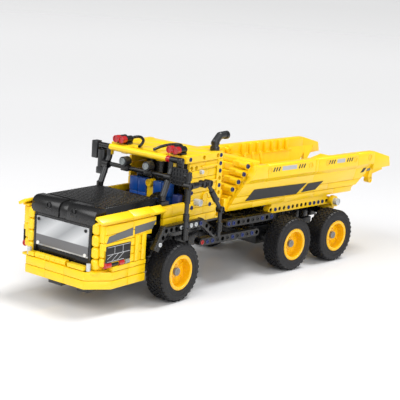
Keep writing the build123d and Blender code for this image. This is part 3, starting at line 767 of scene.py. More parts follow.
# ---- nose ---------------------------------------------------------------------------------------
@dataclass
class Nose:
    """Bumper, grille, hood and the columns beside the grille."""

    grille_y: float = -243.0
    shelf_z: float = 44.5
    bumper_y: float = -252.0
    bumper_half: float = 57.0
    bumper_side_y: float = -230.7
    bumper_rear_y: float = -180.0

    def bumper_layer(self, z0: float, z1: float, inset: float, rear: float) -> bpy.types.Object:
        """One layer of the bumper with its chamfered corners.

        Args:
            z0: its underside.
            z1: its top.
            inset: how far it stands back from the bumper's face.
            rear: where its sides end.

        Returns:
            The layer.
        """
        made = []
        front = self.bumper_y + inset
        made.append(block((-40.0, front, z0), (-13.0, front + 8.0, z1), 0.5))
        made.append(block((-13.0, front, z0), (13.0, front + 8.0, z1), 0.5))
        made.append(block((13.0, front, z0), (40.0, front + 8.0, z1), 0.5))
        half = self.bumper_half - inset
        run = math.hypot(half - 40.0, self.bumper_side_y - self.bumper_y)
        lean = math.atan2(self.bumper_side_y - self.bumper_y, half - 40.0)
        corner = block((0.0, 0.0, z0), (run, 8.0, z1), 0.5)
        corner.data.transform(Matrix.Translation((40.0, front, 0)) @ Matrix.Rotation(lean, 4, "Z"))
        side = course((half - 8.0, half), (self.bumper_side_y, -206.0, rear), (z0, z1))
        made += [corner, *side]
        made += [mirrored(piece) for piece in (corner, *side)]
        return joined(made)

    def build_bumper(self) -> None:
        """Two layers, the shelf and the row of round pieces on it."""
        low = self.bumper_layer(26.5, 34.8, 0.0, self.bumper_rear_y)
        high = self.bumper_layer(35.2, 43.6, 0.4, self.bumper_rear_y)
        shelf = block((-50.0, -247.0, 42.0), (50.0, -226.0, self.shelf_z), 0.4)
        sides = course((49.4, 57.0), (-230.0, -205.0, self.bumper_rear_y), (44.0, 49.0))
        sides += [mirrored(piece) for piece in sides]
        finish(joined([low, high, shelf, *sides]), "bumper_layers", YELLOW, Unit.FRONT, stands_for=["bumper"])
        rollers = [cup(3.3, 6.4, (x, self.bumper_y + 4.2, 46.6), "X", 0.9, 0.8) for x in range(-25, 11, 7)]
        rollers += [block((x - 0.6, self.bumper_y + 1.4, 44.0), (x + 0.6, self.bumper_y + 7.0, 49.2), 0.3)
                    for x in (-21.5, -14.5, -7.5, -0.5, 6.5)]
        finish(joined(rollers), "bumper_rollers", YELLOW, Unit.FRONT)
        end_blocks = [block((16.0, self.bumper_y + 1.0, 44.4), (38.0, self.bumper_y + 7.6, 48.6), 0.5),
                      block((-38.0, self.bumper_y + 1.0, 44.4), (-29.5, self.bumper_y + 7.6, 48.6), 0.5)]
        finish(joined(end_blocks), "bumper_top_blocks", YELLOW, Unit.FRONT)
        tow = [block((-9.0, -250.0, 22.5), (9.0, -228.0, 26.4), 0.5),
               block((24.0, -244.0, 21.0), (38.0, -230.0, 26.4), 0.5)]
        finish(joined(tow), "bumper_underside", CHARCOAL, Unit.FRONT)
        foot = [drum(2.2, 7.0, (40.5, -246.5, 48.0), "Z"), drum(2.2, 7.0, (-40.5, -246.5, 48.0), "Z")]
        finish(joined(foot), "grille_foot_pins", LIGHT_GREY, Unit.FRONT)

    def build_grille(self) -> None:
        """Black frame, silver plate with four pins, and the round columns at its sides."""
        y = self.grille_y
        plate = block((-35.5, y, 55.0), (35.5, y + 2.0, 85.0), 0.5)
        finish(plate, "grille_plate", SILVER, Unit.FRONT, stands_for=["grille_panel"])
        bars = [block((-39.0, y + 1.6, self.shelf_z), (39.0, y + 7.0, 54.6), 0.5),
                block((-39.0, y + 1.0, 85.2), (39.0, y + 7.0, 88.0), 0.5),
                block((-39.0, y + 0.4, 48.0), (-35.8, y + 7.0, 86.0), 0.5),
                block((35.8, y + 0.4, 48.0), (39.0, y + 7.0, 86.0), 0.5),
                block((-36.0, y + 2.2, 54.0), (36.0, y + 7.0, 86.0), 0.3)]
        finish(joined(bars), "grille_surround", BLACK, Unit.FRONT, stands_for=["grille_frame"])
        for name, look, z in (("grille_pins_dark", BLACK, 82.0), ("grille_pins_light", WHITE, 57.6)):
            pins = [cup(1.7, 1.6, (x, y - 0.2, z), "Y", 0.5, 0.5, 14) for x in (-32.0, 32.0)]
            finish(joined(pins), name, look, Unit.FRONT)
        column = []
        for z0, z1 in ((44.6, 56.0), (56.2, 68.0), (68.2, 80.0), (80.2, 91.8)):
            column.append(block((39.4, y - 0.8, z0), (47.6, y + 9.0, z1), 2.8, 4))
        column.append(block((39.4, y + 6.0, 44.6), (47.0, y + 15.0, 91.8), 0.5))
        column += [mirrored(piece) for piece in list(column)]
        rest = block((-47.0, y + 7.2, 58.0), (47.0, y + 15.0, 66.0), 0.4)
        finish(joined([*column, rest]), "nose_columns", YELLOW, Unit.FRONT, stands_for=["nose_frame"])

    def flank(self) -> bpy.types.Object:
        """Sloped left flank of the hood."""
        obj = block((36.0, -228.0, 92.2), (47.0, -152.2, 103.9), 0.0)
        only(obj)
        bpy.ops.object.mode_set(mode="EDIT")
        mesh = bmesh.from_edit_mesh(obj.data)
        for vert in mesh.verts:
            vert.select = vert.co.x > 46 and vert.co.z > 100
        mesh.select_flush_mode()
        bmesh.update_edit_mesh(obj.data)
        bpy.ops.transform.translate(value=(-6.6, 0, 0))
        bpy.ops.mesh.select_all(action="SELECT")
        bpy.ops.mesh.bevel(offset=0.5, segments=2, affect="EDGES")
        bpy.ops.object.mode_set(mode="OBJECT")
        return obj

    def build_hood(self) -> None:
        """Ribbed deck between sloped flanks, with the curved panels at its front."""
        def on_brow(edge: bmesh.types.BMEdge) -> bool:
            spot = (edge.verts[0].co + edge.verts[1].co) / 2
            return spot.y < -242 and spot.z > 103

        deck = block((-40.0, -227.0, 99.0), (40.0, -152.2, 103.6), 0.4)
        starts = [-224.6 + 5.2 * i for i in range(14)]
        ribs = [block((-38.6, y, 103.0), (38.6, y + 4.2, 104.5), 0.5) for y in starts]
        flanks = [self.flank()]
        flanks.append(mirrored(flanks[0]))
        finish(joined([deck, *ribs, *flanks]), "hood_deck", BLACK, Unit.FRONT, stands_for=["hood"])
        made = []
        for x0, x1, drop in ((5.6, 43.0, 0.0), (-43.0, -5.6, 0.0), (-5.2, 5.2, 0.8)):
            panel = block((x0, -243.4 + drop, 88.3), (x1, -227.4, 104.4 - drop), 0.0)
            only(panel)
            bpy.ops.object.mode_set(mode="EDIT")
            bevel_edges(panel, on_brow, 8.5, 5)
            bpy.ops.object.mode_set(mode="OBJECT")
            made.append(eased(panel, 0.5))
        finish(joined(made), "hood_front_panels", BLACK, Unit.FRONT, stands_for=["hood_front"])
        latches = []
        for x in (-19.0, 14.5):
            latches.append(cup(2.9, 6.4, (x, -241.0, 98.4), "Y", 0.7, 0.9, 18))
            latches.append(block((x - 4.2, -244.2, 92.4), (x + 4.2, -237.0, 95.8), 1.0, 3))
        finish(joined(latches), "hood_latches", BLACK, Unit.FRONT)
        ends = [cup(3.2, 2.0, (x, -236.0, 93.0), "X", 0.8, 0.7, 18) for x in (44.2, -44.2)]
        finish(joined(ends), "hood_hinge_caps", CHARCOAL, Unit.FRONT)

    def build(self) -> None:
        """The whole nose."""
        self.build_bumper()
        self.build_grille()
        self.build_hood()


# ---- sides of the nose --------------------------------------------------------------------------
@dataclass
class FrontSides:
    """Fenders with their stickers, headlights, mudguards and the one handrail."""

    face_x: float = 56.0
    wall: float = 4.0
    rail_x: float = 71.0
    lamp_lines: tuple[tuple[float, float, float, float], ...] = (
        (-238.4, 62.0, -205.6, 62.0), (-238.4, 69.6, -205.6, 69.6), (-238.4, 55.2, -214.0, 55.2),
        (-228.0, 62.0, -228.0, 69.6), (-216.0, 62.0, -216.0, 69.6), (-232.0, 55.2, -222.0, 62.0),
        (-224.0, 55.2, -214.0, 62.0), (-238.4, 58.0, -230.0, 62.0),
    )

    def fender(self) -> bpy.types.Object:
        """Left fender: courses of bricks under the slanted ledge."""
        x = (self.face_x - self.wall, self.face_x)
        made = []
        made += course(x, (-236.0, -204.0, -182.0), (49.2, 57.4))
        made += course(x, (-238.0, -218.0, -196.0, -180.2), (57.6, 65.6))
        made += course(x, (-240.0, -203.0, -188.0, -180.2), (65.8, 73.6))
        made += course(x, (-240.0, -212.0, -190.0, -172.0), (73.8, 81.6))
        made += course(x, (-240.0, -200.0, -166.0), (81.8, 90.6))
        made.append(block((47.4, -241.0, 49.2), (54.0, -233.0, 58.0), 2.2, 4))
        made.append(block((47.4, -241.0, 58.2), (54.0, -233.0, 73.0), 2.2, 4))
        made.append(block((47.4, -241.0, 73.2), (54.0, -236.0, 90.6), 1.0))
        made.append(block((47.2, -236.0, 86.0), (self.face_x - 3.0, -166.0, 92.0), 0.4))
        for y in (-198.0, -188.0):
            made.append(block((self.face_x, y, 49.4), (self.face_x + 1.4, y + 6.4, 76.0), 0.5))
        return joined(made)

    def ledge(self) -> bpy.types.Object:
        """Slanted panels on top of the left fender."""
        made = []
        for y0, y1, lift in ((-248.0, -202.0, 0.0), (-201.6, -170.0, 0.4), (-176.0, -152.2, -0.4)):
            panel = block((0.0, y0, 0.0), (10.2, y1, 3.2), 0.6)
            lean = math.atan2(-4.4, 8.6)
            panel.data.transform(Matrix.Translation((47.2, 0, 97.0 + lift)) @ Matrix.Rotation(-lean, 4, "Y"))
            made.append(panel)
        made.append(block((47.2, -243.0, 91.6), (55.4, -168.0, 93.6), 0.5))
        return joined(made)

    def both(self, obj: bpy.types.Object, name: str, look: Finish, nodes: Sequence[str] = ()) -> None:
        """Finishes a left piece and its mirror image as one.

        Args:
            obj: the left piece.
            name: the name of the two together.
            look: their finish.
            nodes: the frame's nodes that they replace.
        """
        finish(both_sides(obj), name, look, Unit.FRONT, stands_for=nodes)

    def build_fenders(self) -> None:
        """Fenders, ledges, stickers and lamps of both sides."""
        self.both(self.fender(), "fender_bricks", YELLOW, ["fender_left", "fender_right"])
        self.both(self.ledge(), "fender_ledges", YELLOW)
        outlines = (((-239.6, 73.4), (-236.0, 80.2), (-201.4, 84.4), (-201.4, 76.4)),
                    ((-198.6, 76.8), (-198.6, 84.8), (-166.4, 86.6), (-172.0, 78.6)))
        films = [slanted_plate(outline, self.face_x) for outline in outlines]
        self.both(joined(films), "fender_stickers", STICKER_GREY)
        field = block((self.face_x - 0.4, -239.6, 54.0), (self.face_x + 0.9, -204.4, 70.6), 0.3)
        self.both(field, "headlight_fields", STICKER_BLACK, ["headlights"])
        lines = []
        x0, x1 = self.face_x + 0.7, self.face_x + 1.15
        for y0, z0, y1, z1 in self.lamp_lines:
            run, lean = math.hypot(y1 - y0, z1 - z0), math.atan2(z1 - z0, y1 - y0)
            line = block((0, 0, -0.28), (x1 - x0, run, 0.28), 0.1, 1)
            line.data.transform(Matrix.Translation((x0, y0, z0)) @ Matrix.Rotation(lean, 4, "X"))
            lines.append(line)
        self.both(joined(lines), "headlight_lines", STICKER_PALE)
        reds = [cup(3.1, 7.2, (self.face_x - 1.2, y, 51.4), "Y", 0.8, 0.7) for y in (-236.0, -217.0)]
        self.both(joined(reds), "side_lamps_red", RED_CLEAR)
        rest = [drum(2.2, 10.0, (self.face_x - 1.2, -226.5, 51.4), "Y")]
        self.both(joined(rest), "side_lamp_rods", BLACK)
        self.both(cup(3.0, 6.4, (self.face_x - 1.2, -208.6, 51.4), "Y", 0.8, 0.7), "side_lamps_clear", CLEAR)

    def mudguard(self) -> bpy.types.Object:
        """Left bent beam over the front wheel, drilled for pins."""
        flat = block((60.2, -167.0, 73.2), (67.8, -101.0, 81.2), 1.6, 3)
        front = block((60.2, -4.0, -24.0), (67.8, 4.0, 3.6), 1.6, 3)
        front.data.transform(leaning((0, -163.5, 77.2), -35))
        back = block((60.2, -4.0, -30.0), (67.8, 4.0, 3.6), 1.6, 3)
        back.data.transform(leaning((0, -103.0, 77.2), 56))
        spots = [(64.0, -163.6 + PITCH * i, 77.2) for i in range(8)]
        for step in (1, 2):
            spots.append((64.0, -163.5 - step * PITCH * 0.574, 77.2 - step * PITCH * 0.819))
            spots.append((64.0, -103.0 + step * PITCH * 0.829, 77.2 - step * PITCH * 0.559))
        return drilled(joined([flat, front, back]), holes_x(spots, 12.0))

    def build_mudguards(self) -> None:
        """Mudguards, their platforms and pins."""
        self.both(self.mudguard(), "mudguard_beams", BLACK, ["mudguard_left", "mudguard_right"])
        plate = [block((52.2, -150.0, 74.2), (60.4, -111.0, 78.0), 0.4)]
        starts = [-148.0 + 5.4 * i for i in range(7)]
        plate += [block((53.0, y, 77.8), (60.0, y + 4.0, 78.6), 0.3) for y in starts]
        self.both(joined(plate), "mudguard_platforms", BLACK)
        self.both(block((52.4, -149.0, 65.2), (56.0, -112.0, 74.4), 0.4), "mudguard_hangers", BLACK)
        pale = [cup(2.2, 3.0, (67.2, y, 77.2), "X", 0.7, 0.9, 16) for y in (-139.6, -123.6, -115.6)]
        pale.append(cup(2.2, 3.0, (67.2, -172.6, 64.2), "X", 0.7, 0.9, 16))
        self.both(joined(pale), "mudguard_pins_pale", LIGHT_GREY)
        blue = [cup(2.2, 3.0, (67.2, y, 77.2), "X", 0.7, 0.9, 16) for y in (-131.6, -107.6)]
        self.both(joined(blue), "mudguard_pins_blue", PIN_BLUE)

    def build_handrail(self) -> None:
        """Sleeves and joints along the left handrail."""
        x = self.rail_x
        made = [drum(3.5, 12.0, (x, -137.0, 70.6), "Z"), drum(3.4, 7.0, (x, -137.0, 88.0), "Z"),
                drum(3.4, 16.0, (x, -137.0, 111.0), "Z"), cup(3.9, 7.8, (x, -137.0, 120.4), "X", 0.9, 0.8),
                drum(3.3, 9.0, (x, -127.0, 120.0), "Y"), cup(3.8, 7.4, (x, -112.4, 120.0), "X", 0.9, 0.8),
                cup(3.8, 7.4, (x, -103.6, 119.8), "X", 0.9, 0.8),
                cup(3.6, 7.0, (x, -79.0, 88.8), "X", 0.9, 0.8),
                drum(3.4, 10.0, (x, -79.0, 70.0), "Z"), drum(3.2, 8.0, (x, -137.0, 130.4), "Z")]
        slanted = drum(3.3, 14.0, (0, 0, 0), "Z")
        slanted.data.transform(leaning((x, -92.0, 105.0), 38.9))
        made.append(slanted)
        finish(joined(made), "handrail_joints", BLACK, Unit.FRONT)

    def build(self) -> None:
        """Everything beside the nose."""
        self.build_fenders()
        self.build_mudguards()
        self.build_handrail()


# ---- cab ----------------------------------------------------------------------------------------
@dataclass
class Cab:
    """Walls of drilled beams, roof panels, pillars, seats and what stands on the roof."""

    half: float = 52.0
    rear_y: float = -54.0
    front_y: float = -150.0
    floor_z: float = 73.0
    roof_z: float = 138.0
    seat_back_y: float = -112.0
    lamp_x: float = 16.0
    left_edge_y: float = -111.0
    right_edge_y: float = -88.0

    def wall(self, side: Side) -> bpy.types.Object:
        """One wall, modelled on the left: a post of beams at the rear, courses ahead, and the sill.

        Args:
            side: the side that it is for; the right wall is open further back above its sill.

        Returns:
            The wall.
        """
        x = (self.half - 4.0, self.half)
        edge = self.left_edge_y if side is Side.LEFT else self.right_edge_y
        made = [block((x[0], -62.0, self.floor_z), (x[1], self.rear_y, self.roof_z), 0.5)]
        z, row = self.floor_z, 0
        while z < self.roof_z - 0.5:
            top = min(z + PITCH, self.roof_z)
            start = edge if z > 96 else self.left_edge_y
            splits = ((start, -78.0, -62.2), (start, -84.0, -62.2))[row % 2]
            inset = 0.0 if not 96 < z < 134 else 0.8
            made += course((x[0], x[1] - inset), splits, (z + 0.08, top - 0.08))
            z, row = top, row + 1
        made += course(x, (self.front_y, -128.0, -111.2), (self.floor_z, 84.6))
        made += course(x, (self.front_y, -136.0, -111.2), (84.9, 97.0))
        spots = [(self.half, -58.0, 77.0 + PITCH * i) for i in range(8)]
        spots += [(self.half, y, 90.0) for y in (-104.0, -72.6)]
        if side is Side.LEFT:
            spots += [(self.half, -106.0, 106.0)]
            spots += [(self.half, -107.0 + PITCH * i, 132.0) for i in range(2)]
        return drilled(joined(made), holes_x(spots, 9.0))

    def roof(self) -> bpy.types.Object:
        """Roof deck of smooth panels between drilled side beams."""
        made = []
        for side in (1, -1):
            x = sorted((side * 44.2, side * self.half))
            made.append(block((x[0], -118.0, self.roof_z), (x[1], self.rear_y, 146.0), 0.6))
        for x0, x1 in ((-44.0, -15.0), (-14.8, 14.8), (15.0, 44.0)):
            for y0, y1 in ((-118.0, -100.2), (-100.0, -77.2), (-77.0, self.rear_y)):
                made.append(block((x0, y0, self.roof_z), (x1, y1, 145.4), 0.5))
        for x in (-24.0, 24.0):
            made.append(block((x - 4, -129.0, self.roof_z), (x + 4, -117.6, 145.8), 0.6))
        spots = [(side * self.half, y, 142.0) for side in (1, -1) for y in (-111.0, -87.6, -63.6, -58.0)]
        return drilled(joined(made), holes_x(spots, 10.0))

    def build_shell(self) -> None:
        """Walls, roof and rear wall."""
        right = self.wall(Side.RIGHT)
        finish(joined([self.wall(Side.LEFT), mirrored(right)]), "cab_walls", YELLOW, Unit.FRONT,
               stands_for=["cab_wall_left", "cab_wall_right"])
        bpy.data.objects.remove(right)
        finish(self.roof(), "roof_panels", YELLOW, Unit.FRONT, stands_for=["roof"])
        made, z, row = [], self.floor_z, 0
        while z < self.roof_z - 0.5:
            top = min(z + PITCH, self.roof_z)
            cuts = ((-48.0, -16.0, 16.0, 48.0), (-48.0, -24.0, 0.0, 24.0, 48.0))[row % 2]
            for a, b in zip(cuts, cuts[1:]):
                made.append(block((a, -58.0, z + 0.08), (b, self.rear_y, top - 0.08), 0.4))
            z, row = top, row + 1
        finish(joined(made), "cab_rear_bricks", YELLOW, Unit.FRONT, stands_for=["cab_rear_wall"])
        pins = [(self.half - 1.0, -58.0, z) for z in (93.0, 109.0, 125.0, 133.0)]
        pins += [(self.half - 1.0, -58.0, 142.0), (self.half - 1.0, -111.0, 142.0)]
        pins += [(self.half - 1.0, y, z) for y, z in ((-104.0, 90.0), (-72.6, 90.0), (-106.0, 106.0))]
        heads = repeated(pin_head(), pins)
        far = repeated(pin_head(), pins[:-1])
        finish(joined([heads, mirrored(far)]), "cab_wall_pins", PIN_BLUE, Unit.FRONT)
        bpy.data.objects.remove(far)
        frame_bits = [block((self.half - 0.4, -91.0, 131.4), (self.half + 0.8, -62.4, 133.6), 0.3),
                      block((self.half - 0.4, -91.0, 115.0), (self.half + 0.8, -62.4, 117.0), 0.3),
                      block((self.half - 0.4, -64.4, 115.0), (self.half + 0.8, -62.4, 133.6), 0.3),
                      cup(5.0, 1.8, (self.half - 0.2, -81.4, 99.2), "X", 0.9, 0.6, 24)]
        finish(joined(frame_bits), "cab_wall_trim", YELLOW, Unit.FRONT)
        bush = [cup(3.6, 7.6, (self.half + 3.0, -97.5, 95.6), "X", 0.8, 1.0),
                drum(2.3, 4.0, (self.half + 0.4, -91.4, 127.2), "X")]
        finish(joined(bush), "cab_wall_bushes", LIGHT_GREY, Unit.FRONT)

    def build_front(self) -> None:
        """Roof tube, pillars with joints, lamps and the cross bar's clips."""
        tube = drum(3.5, 78.0, (-3.0, -130.0, 142.7), "X", 28, 0.5)
        finish(tube, "roof_tube_yellow", YELLOW, Unit.FRONT)
        dark = [drum(3.3, 15.0, (-49.0, -130.0, 142.7), "X", 24, 0.5),
                drum(3.3, 19.0, (45.0, -130.0, 142.7), "X", 24, 0.5),
                drum(3.4, 12.0, (54.0, -130.0, 135.0), "Z", 24, 0.5),
                block((50.4, -133.4, 138.4), (57.4, -126.6, 146.0), 2.4, 4)]
        finish(joined(dark), "roof_tube_ends", BLACK, Unit.FRONT, stands_for=["roof_tube"])
        ring = cup(3.45, 5.0, (38.6, -130.0, 142.7), "X", 0.6, 0.3, 24)
        finish(ring, "roof_tube_ring", RED_CLEAR, Unit.FRONT)
        clips = [block((x - 3.2, -131.6, 134.4), (x + 3.2, -126.6, 140.0), 0.8) for x in (-43.0, 43.0)]
        finish(joined(clips), "roof_tube_clips", YELLOW, Unit.FRONT)
        joints = []
        for x in (-43.0, 43.0):
            joints.append(cup(4.0, 8.2, (x, -134.6, 124.6), "X", 0.9, 0.8))
            joints.append(drum(3.7, 5.0, (x, -143.2, 104.0), "Z"))
        for x in (-self.lamp_x, self.lamp_x):
            joints.append(block((x - 5, -137.0, 121.6), (x + 5, -130.6, 128.4), 0.8))
        finish(joined(joints), "pillar_joints", BLACK, Unit.FRONT)
        lenses = [cup(3.5, 2.6, (x, -139.4, 132.0), "Y", 0.7, 0.6) for x in (-self.lamp_x, self.lamp_x)]
        finish(joined(lenses), "lamp_lenses", CLEAR, Unit.FRONT)
        bezels = [cup(5.0, 8.0, (x, -135.4, 132.0), "Y", 1.2, 0.9, 28) for x in (-self.lamp_x, self.lamp_x)]
        bezels += [block((x - 2.4, -137.0, 126.0), (x + 2.4, -131.4, 129.4), 0.6)
                   for x in (-self.lamp_x, self.lamp_x)]
        finish(joined(bezels), "lamp_bezels", CHARCOAL, Unit.FRONT)
        post = block((30.0, -148.0, 98.6), (38.0, -138.4, 101.6), 0.5)
        finish(both_sides(post), "cowl_blocks", BLACK, Unit.FRONT)

    def seat(self, x0: float, x1: float) -> bpy.types.Object:
        """One seat of smooth panels: cushion, back of two panels and a head panel."""
        back = self.seat_back_y
        made = [block((x0, -129.0, self.floor_z + 0.2), (x1, back - 0.2, 82.0), 1.4, 3)]
        middle = (x0 + x1) / 2
        for a, b in ((x0, middle - 0.1), (middle + 0.1, x1)):
            made.append(block((a, back, self.floor_z + 0.2), (b, back + 7.0, 97.0), 0.7))
            made.append(block((a, back - 0.6, 97.2), (b, back + 7.0, 112.0), 0.9))
        return joined(made)

    def build_inside(self) -> None:
        """Seats, the round piece between them and the inner beams."""
        seats = joined([self.seat(5.0, 28.0), self.seat(-28.0, -5.0)])
        finish(seats, "seat_panels", BLUE, Unit.FRONT, stands_for=["seats"])
        centre = [cup(4.0, 9.0, (0.0, -110.0, 109.0), "Y", 1.0, 1.0),
                  block((-4.4, -111.0, 74.0), (4.4, -105.4, 105.0), 0.6)]
        finish(joined(centre), "seat_centre", YELLOW, Unit.FRONT)
        post = block((38.2, -120.0, self.floor_z + 0.2), (45.6, -112.4, 104.0), 0.6)
        finish(post, "door_post", PIN_BLUE, Unit.FRONT)
        engine = [block((-44.0, -100.0, self.floor_z + 0.2), (44.0, -92.0, 92.0), 0.8),
                  block((-30.0, -99.0, 92.2), (30.0, -93.0, 118.0), 0.8),
                  block((-44.0, -66.0, 92.2), (44.0, -58.4, 137.0), 0.8)]
        engine += [cup(3.6, 7.0, (x, -99.4, 112.0), "Y", 0.9, 0.9, 20) for x in (-22.0, -8.0, 8.0, 22.0)]
        engine += [block((x - 3.9, -69.4, 94.0), (x + 3.9, -65.8, 136.6), 0.6) for x in range(-36, 29, 16)]
        finish(joined(engine), "cab_back_blocks", BLACK, Unit.FRONT)
        plate = block((40.0, -149.4, 86.4), (47.6, -113.0, 88.4), 0.4)
        finish(both_sides(plate), "door_plates", TAN, Unit.FRONT)
        console = block((-12.0, -146.0, 86.0), (32.0, -139.0, 97.4), 1.2, 3)
        finish(console, "dashboard", BLACK, Unit.FRONT)

    def build_roof_top(self) -> None:
        """Beacons, both mirrors and the exhaust's collars."""
        made, bodies = [], []
        for side in (1, -1):
            for x in (33.0, 41.0):
                made.append(cup(3.9, 6.2, (side * x, -121.2, 151.0), "Y", 0.9, 0.8, 24))
                bodies.append(cup(3.6, 10.0, (side * x, -113.0, 151.0), "Y", 0.8, 0.8, 24))
            bodies.append(sorted_block((side * 29.0, -118.0, 146.0), (side * 45.0, -109.0, 148.4), 0.4))
        finish(joined(made), "beacon_lenses", RED_CLEAR, Unit.FRONT, stands_for=["beacons"])
        finish(joined(bodies), "beacon_bodies", BLACK, Unit.FRONT)
        panel = []
        x0, x1, z0, z1 = 50.0, 67.6, 119.0, 137.0
        panel.append(block((x0, -136.4, z0), (x1, -134.6, z1), 0.3))
        for i in range(5):
            x = x0 + i * (x1 - x0 - 1.4) / 4
            panel.append(block((x, -137.4, z0), (x + 1.4, -134.2, z1), 0.3))
        for i in range(5):
            z = z0 + i * (z1 - z0 - 1.4) / 4
            panel.append(block((x0, -137.4, z), (x1, -134.2, z + 1.4), 0.3))
        panel.append(drum(2.3, 8.0, (69.0, -136.0, 130.0), "X"))
        finish(joined(panel), "mirror_grid", CHARCOAL, Unit.FRONT, stands_for=["mirror_left"])
        block_mirror = [block((-66.0, -134.0, 128.0), (-58.2, -126.0, 147.0), 0.8),
                        cup(5.0, 19.0, (-53.2, -130.0, 129.0), "Z", 1.0, 1.0),
                        block((-58.0, -134.4, 112.0), (-48.4, -125.6, 119.4), 0.8)]
        finish(joined(block_mirror), "mirror_block", CHARCOAL, Unit.FRONT, stands_for=["mirror_right"])
        collar = [drum(5.2, 3.4, (43.0, -58.0, 147.6), "Z"),
                  cup(4.5, 4.0, (43.0, -39.8, 160.9), "Y", 0.8, 2.0),
                  cup(4.7, 3.0, (43.0, -58.0, 153.6), "Z", 0.6, 0.4)]
        finish(joined(collar), "exhaust_collars", BLACK, Unit.FRONT)

    def build_hoses(self) -> None:
        """Two short hoses from the beacons over the roof's front edge."""
        left = ((37, -108, 150), (30, -101, 153), (20, -104, 152.4), (13, -112, 150), (10, -121, 147))
        for side in Side:
            name = f"roof_hose_{side.name.lower()}"
            points = [(side.value * x, y, z) for x, y, z in left]
            clear_selection()
            bpy.ops.curve.primitive_bezier_curve_add()
            curve = bpy.context.active_object
            spline = curve.data.splines[0]
            spline.bezier_points.add(len(points) - 2)
            for node, point in zip(spline.bezier_points, points):
                node.co = point
                node.handle_left_type = node.handle_right_type = "AUTO"
            curve.data.bevel_depth = 1.6
            curve.data.bevel_resolution = 4
            curve.data.resolution_u = 10
            curve.data.use_fill_caps = True
            only(curve)
            bpy.ops.object.convert(target="MESH")
            finish(bpy.context.active_object, name, BLACK, Unit.FRONT)

    def build(self) -> None:
        """The whole cab."""
        self.build_shell()
        self.build_front()
        self.build_inside()
        self.build_roof_top()
        self.build_hoses()


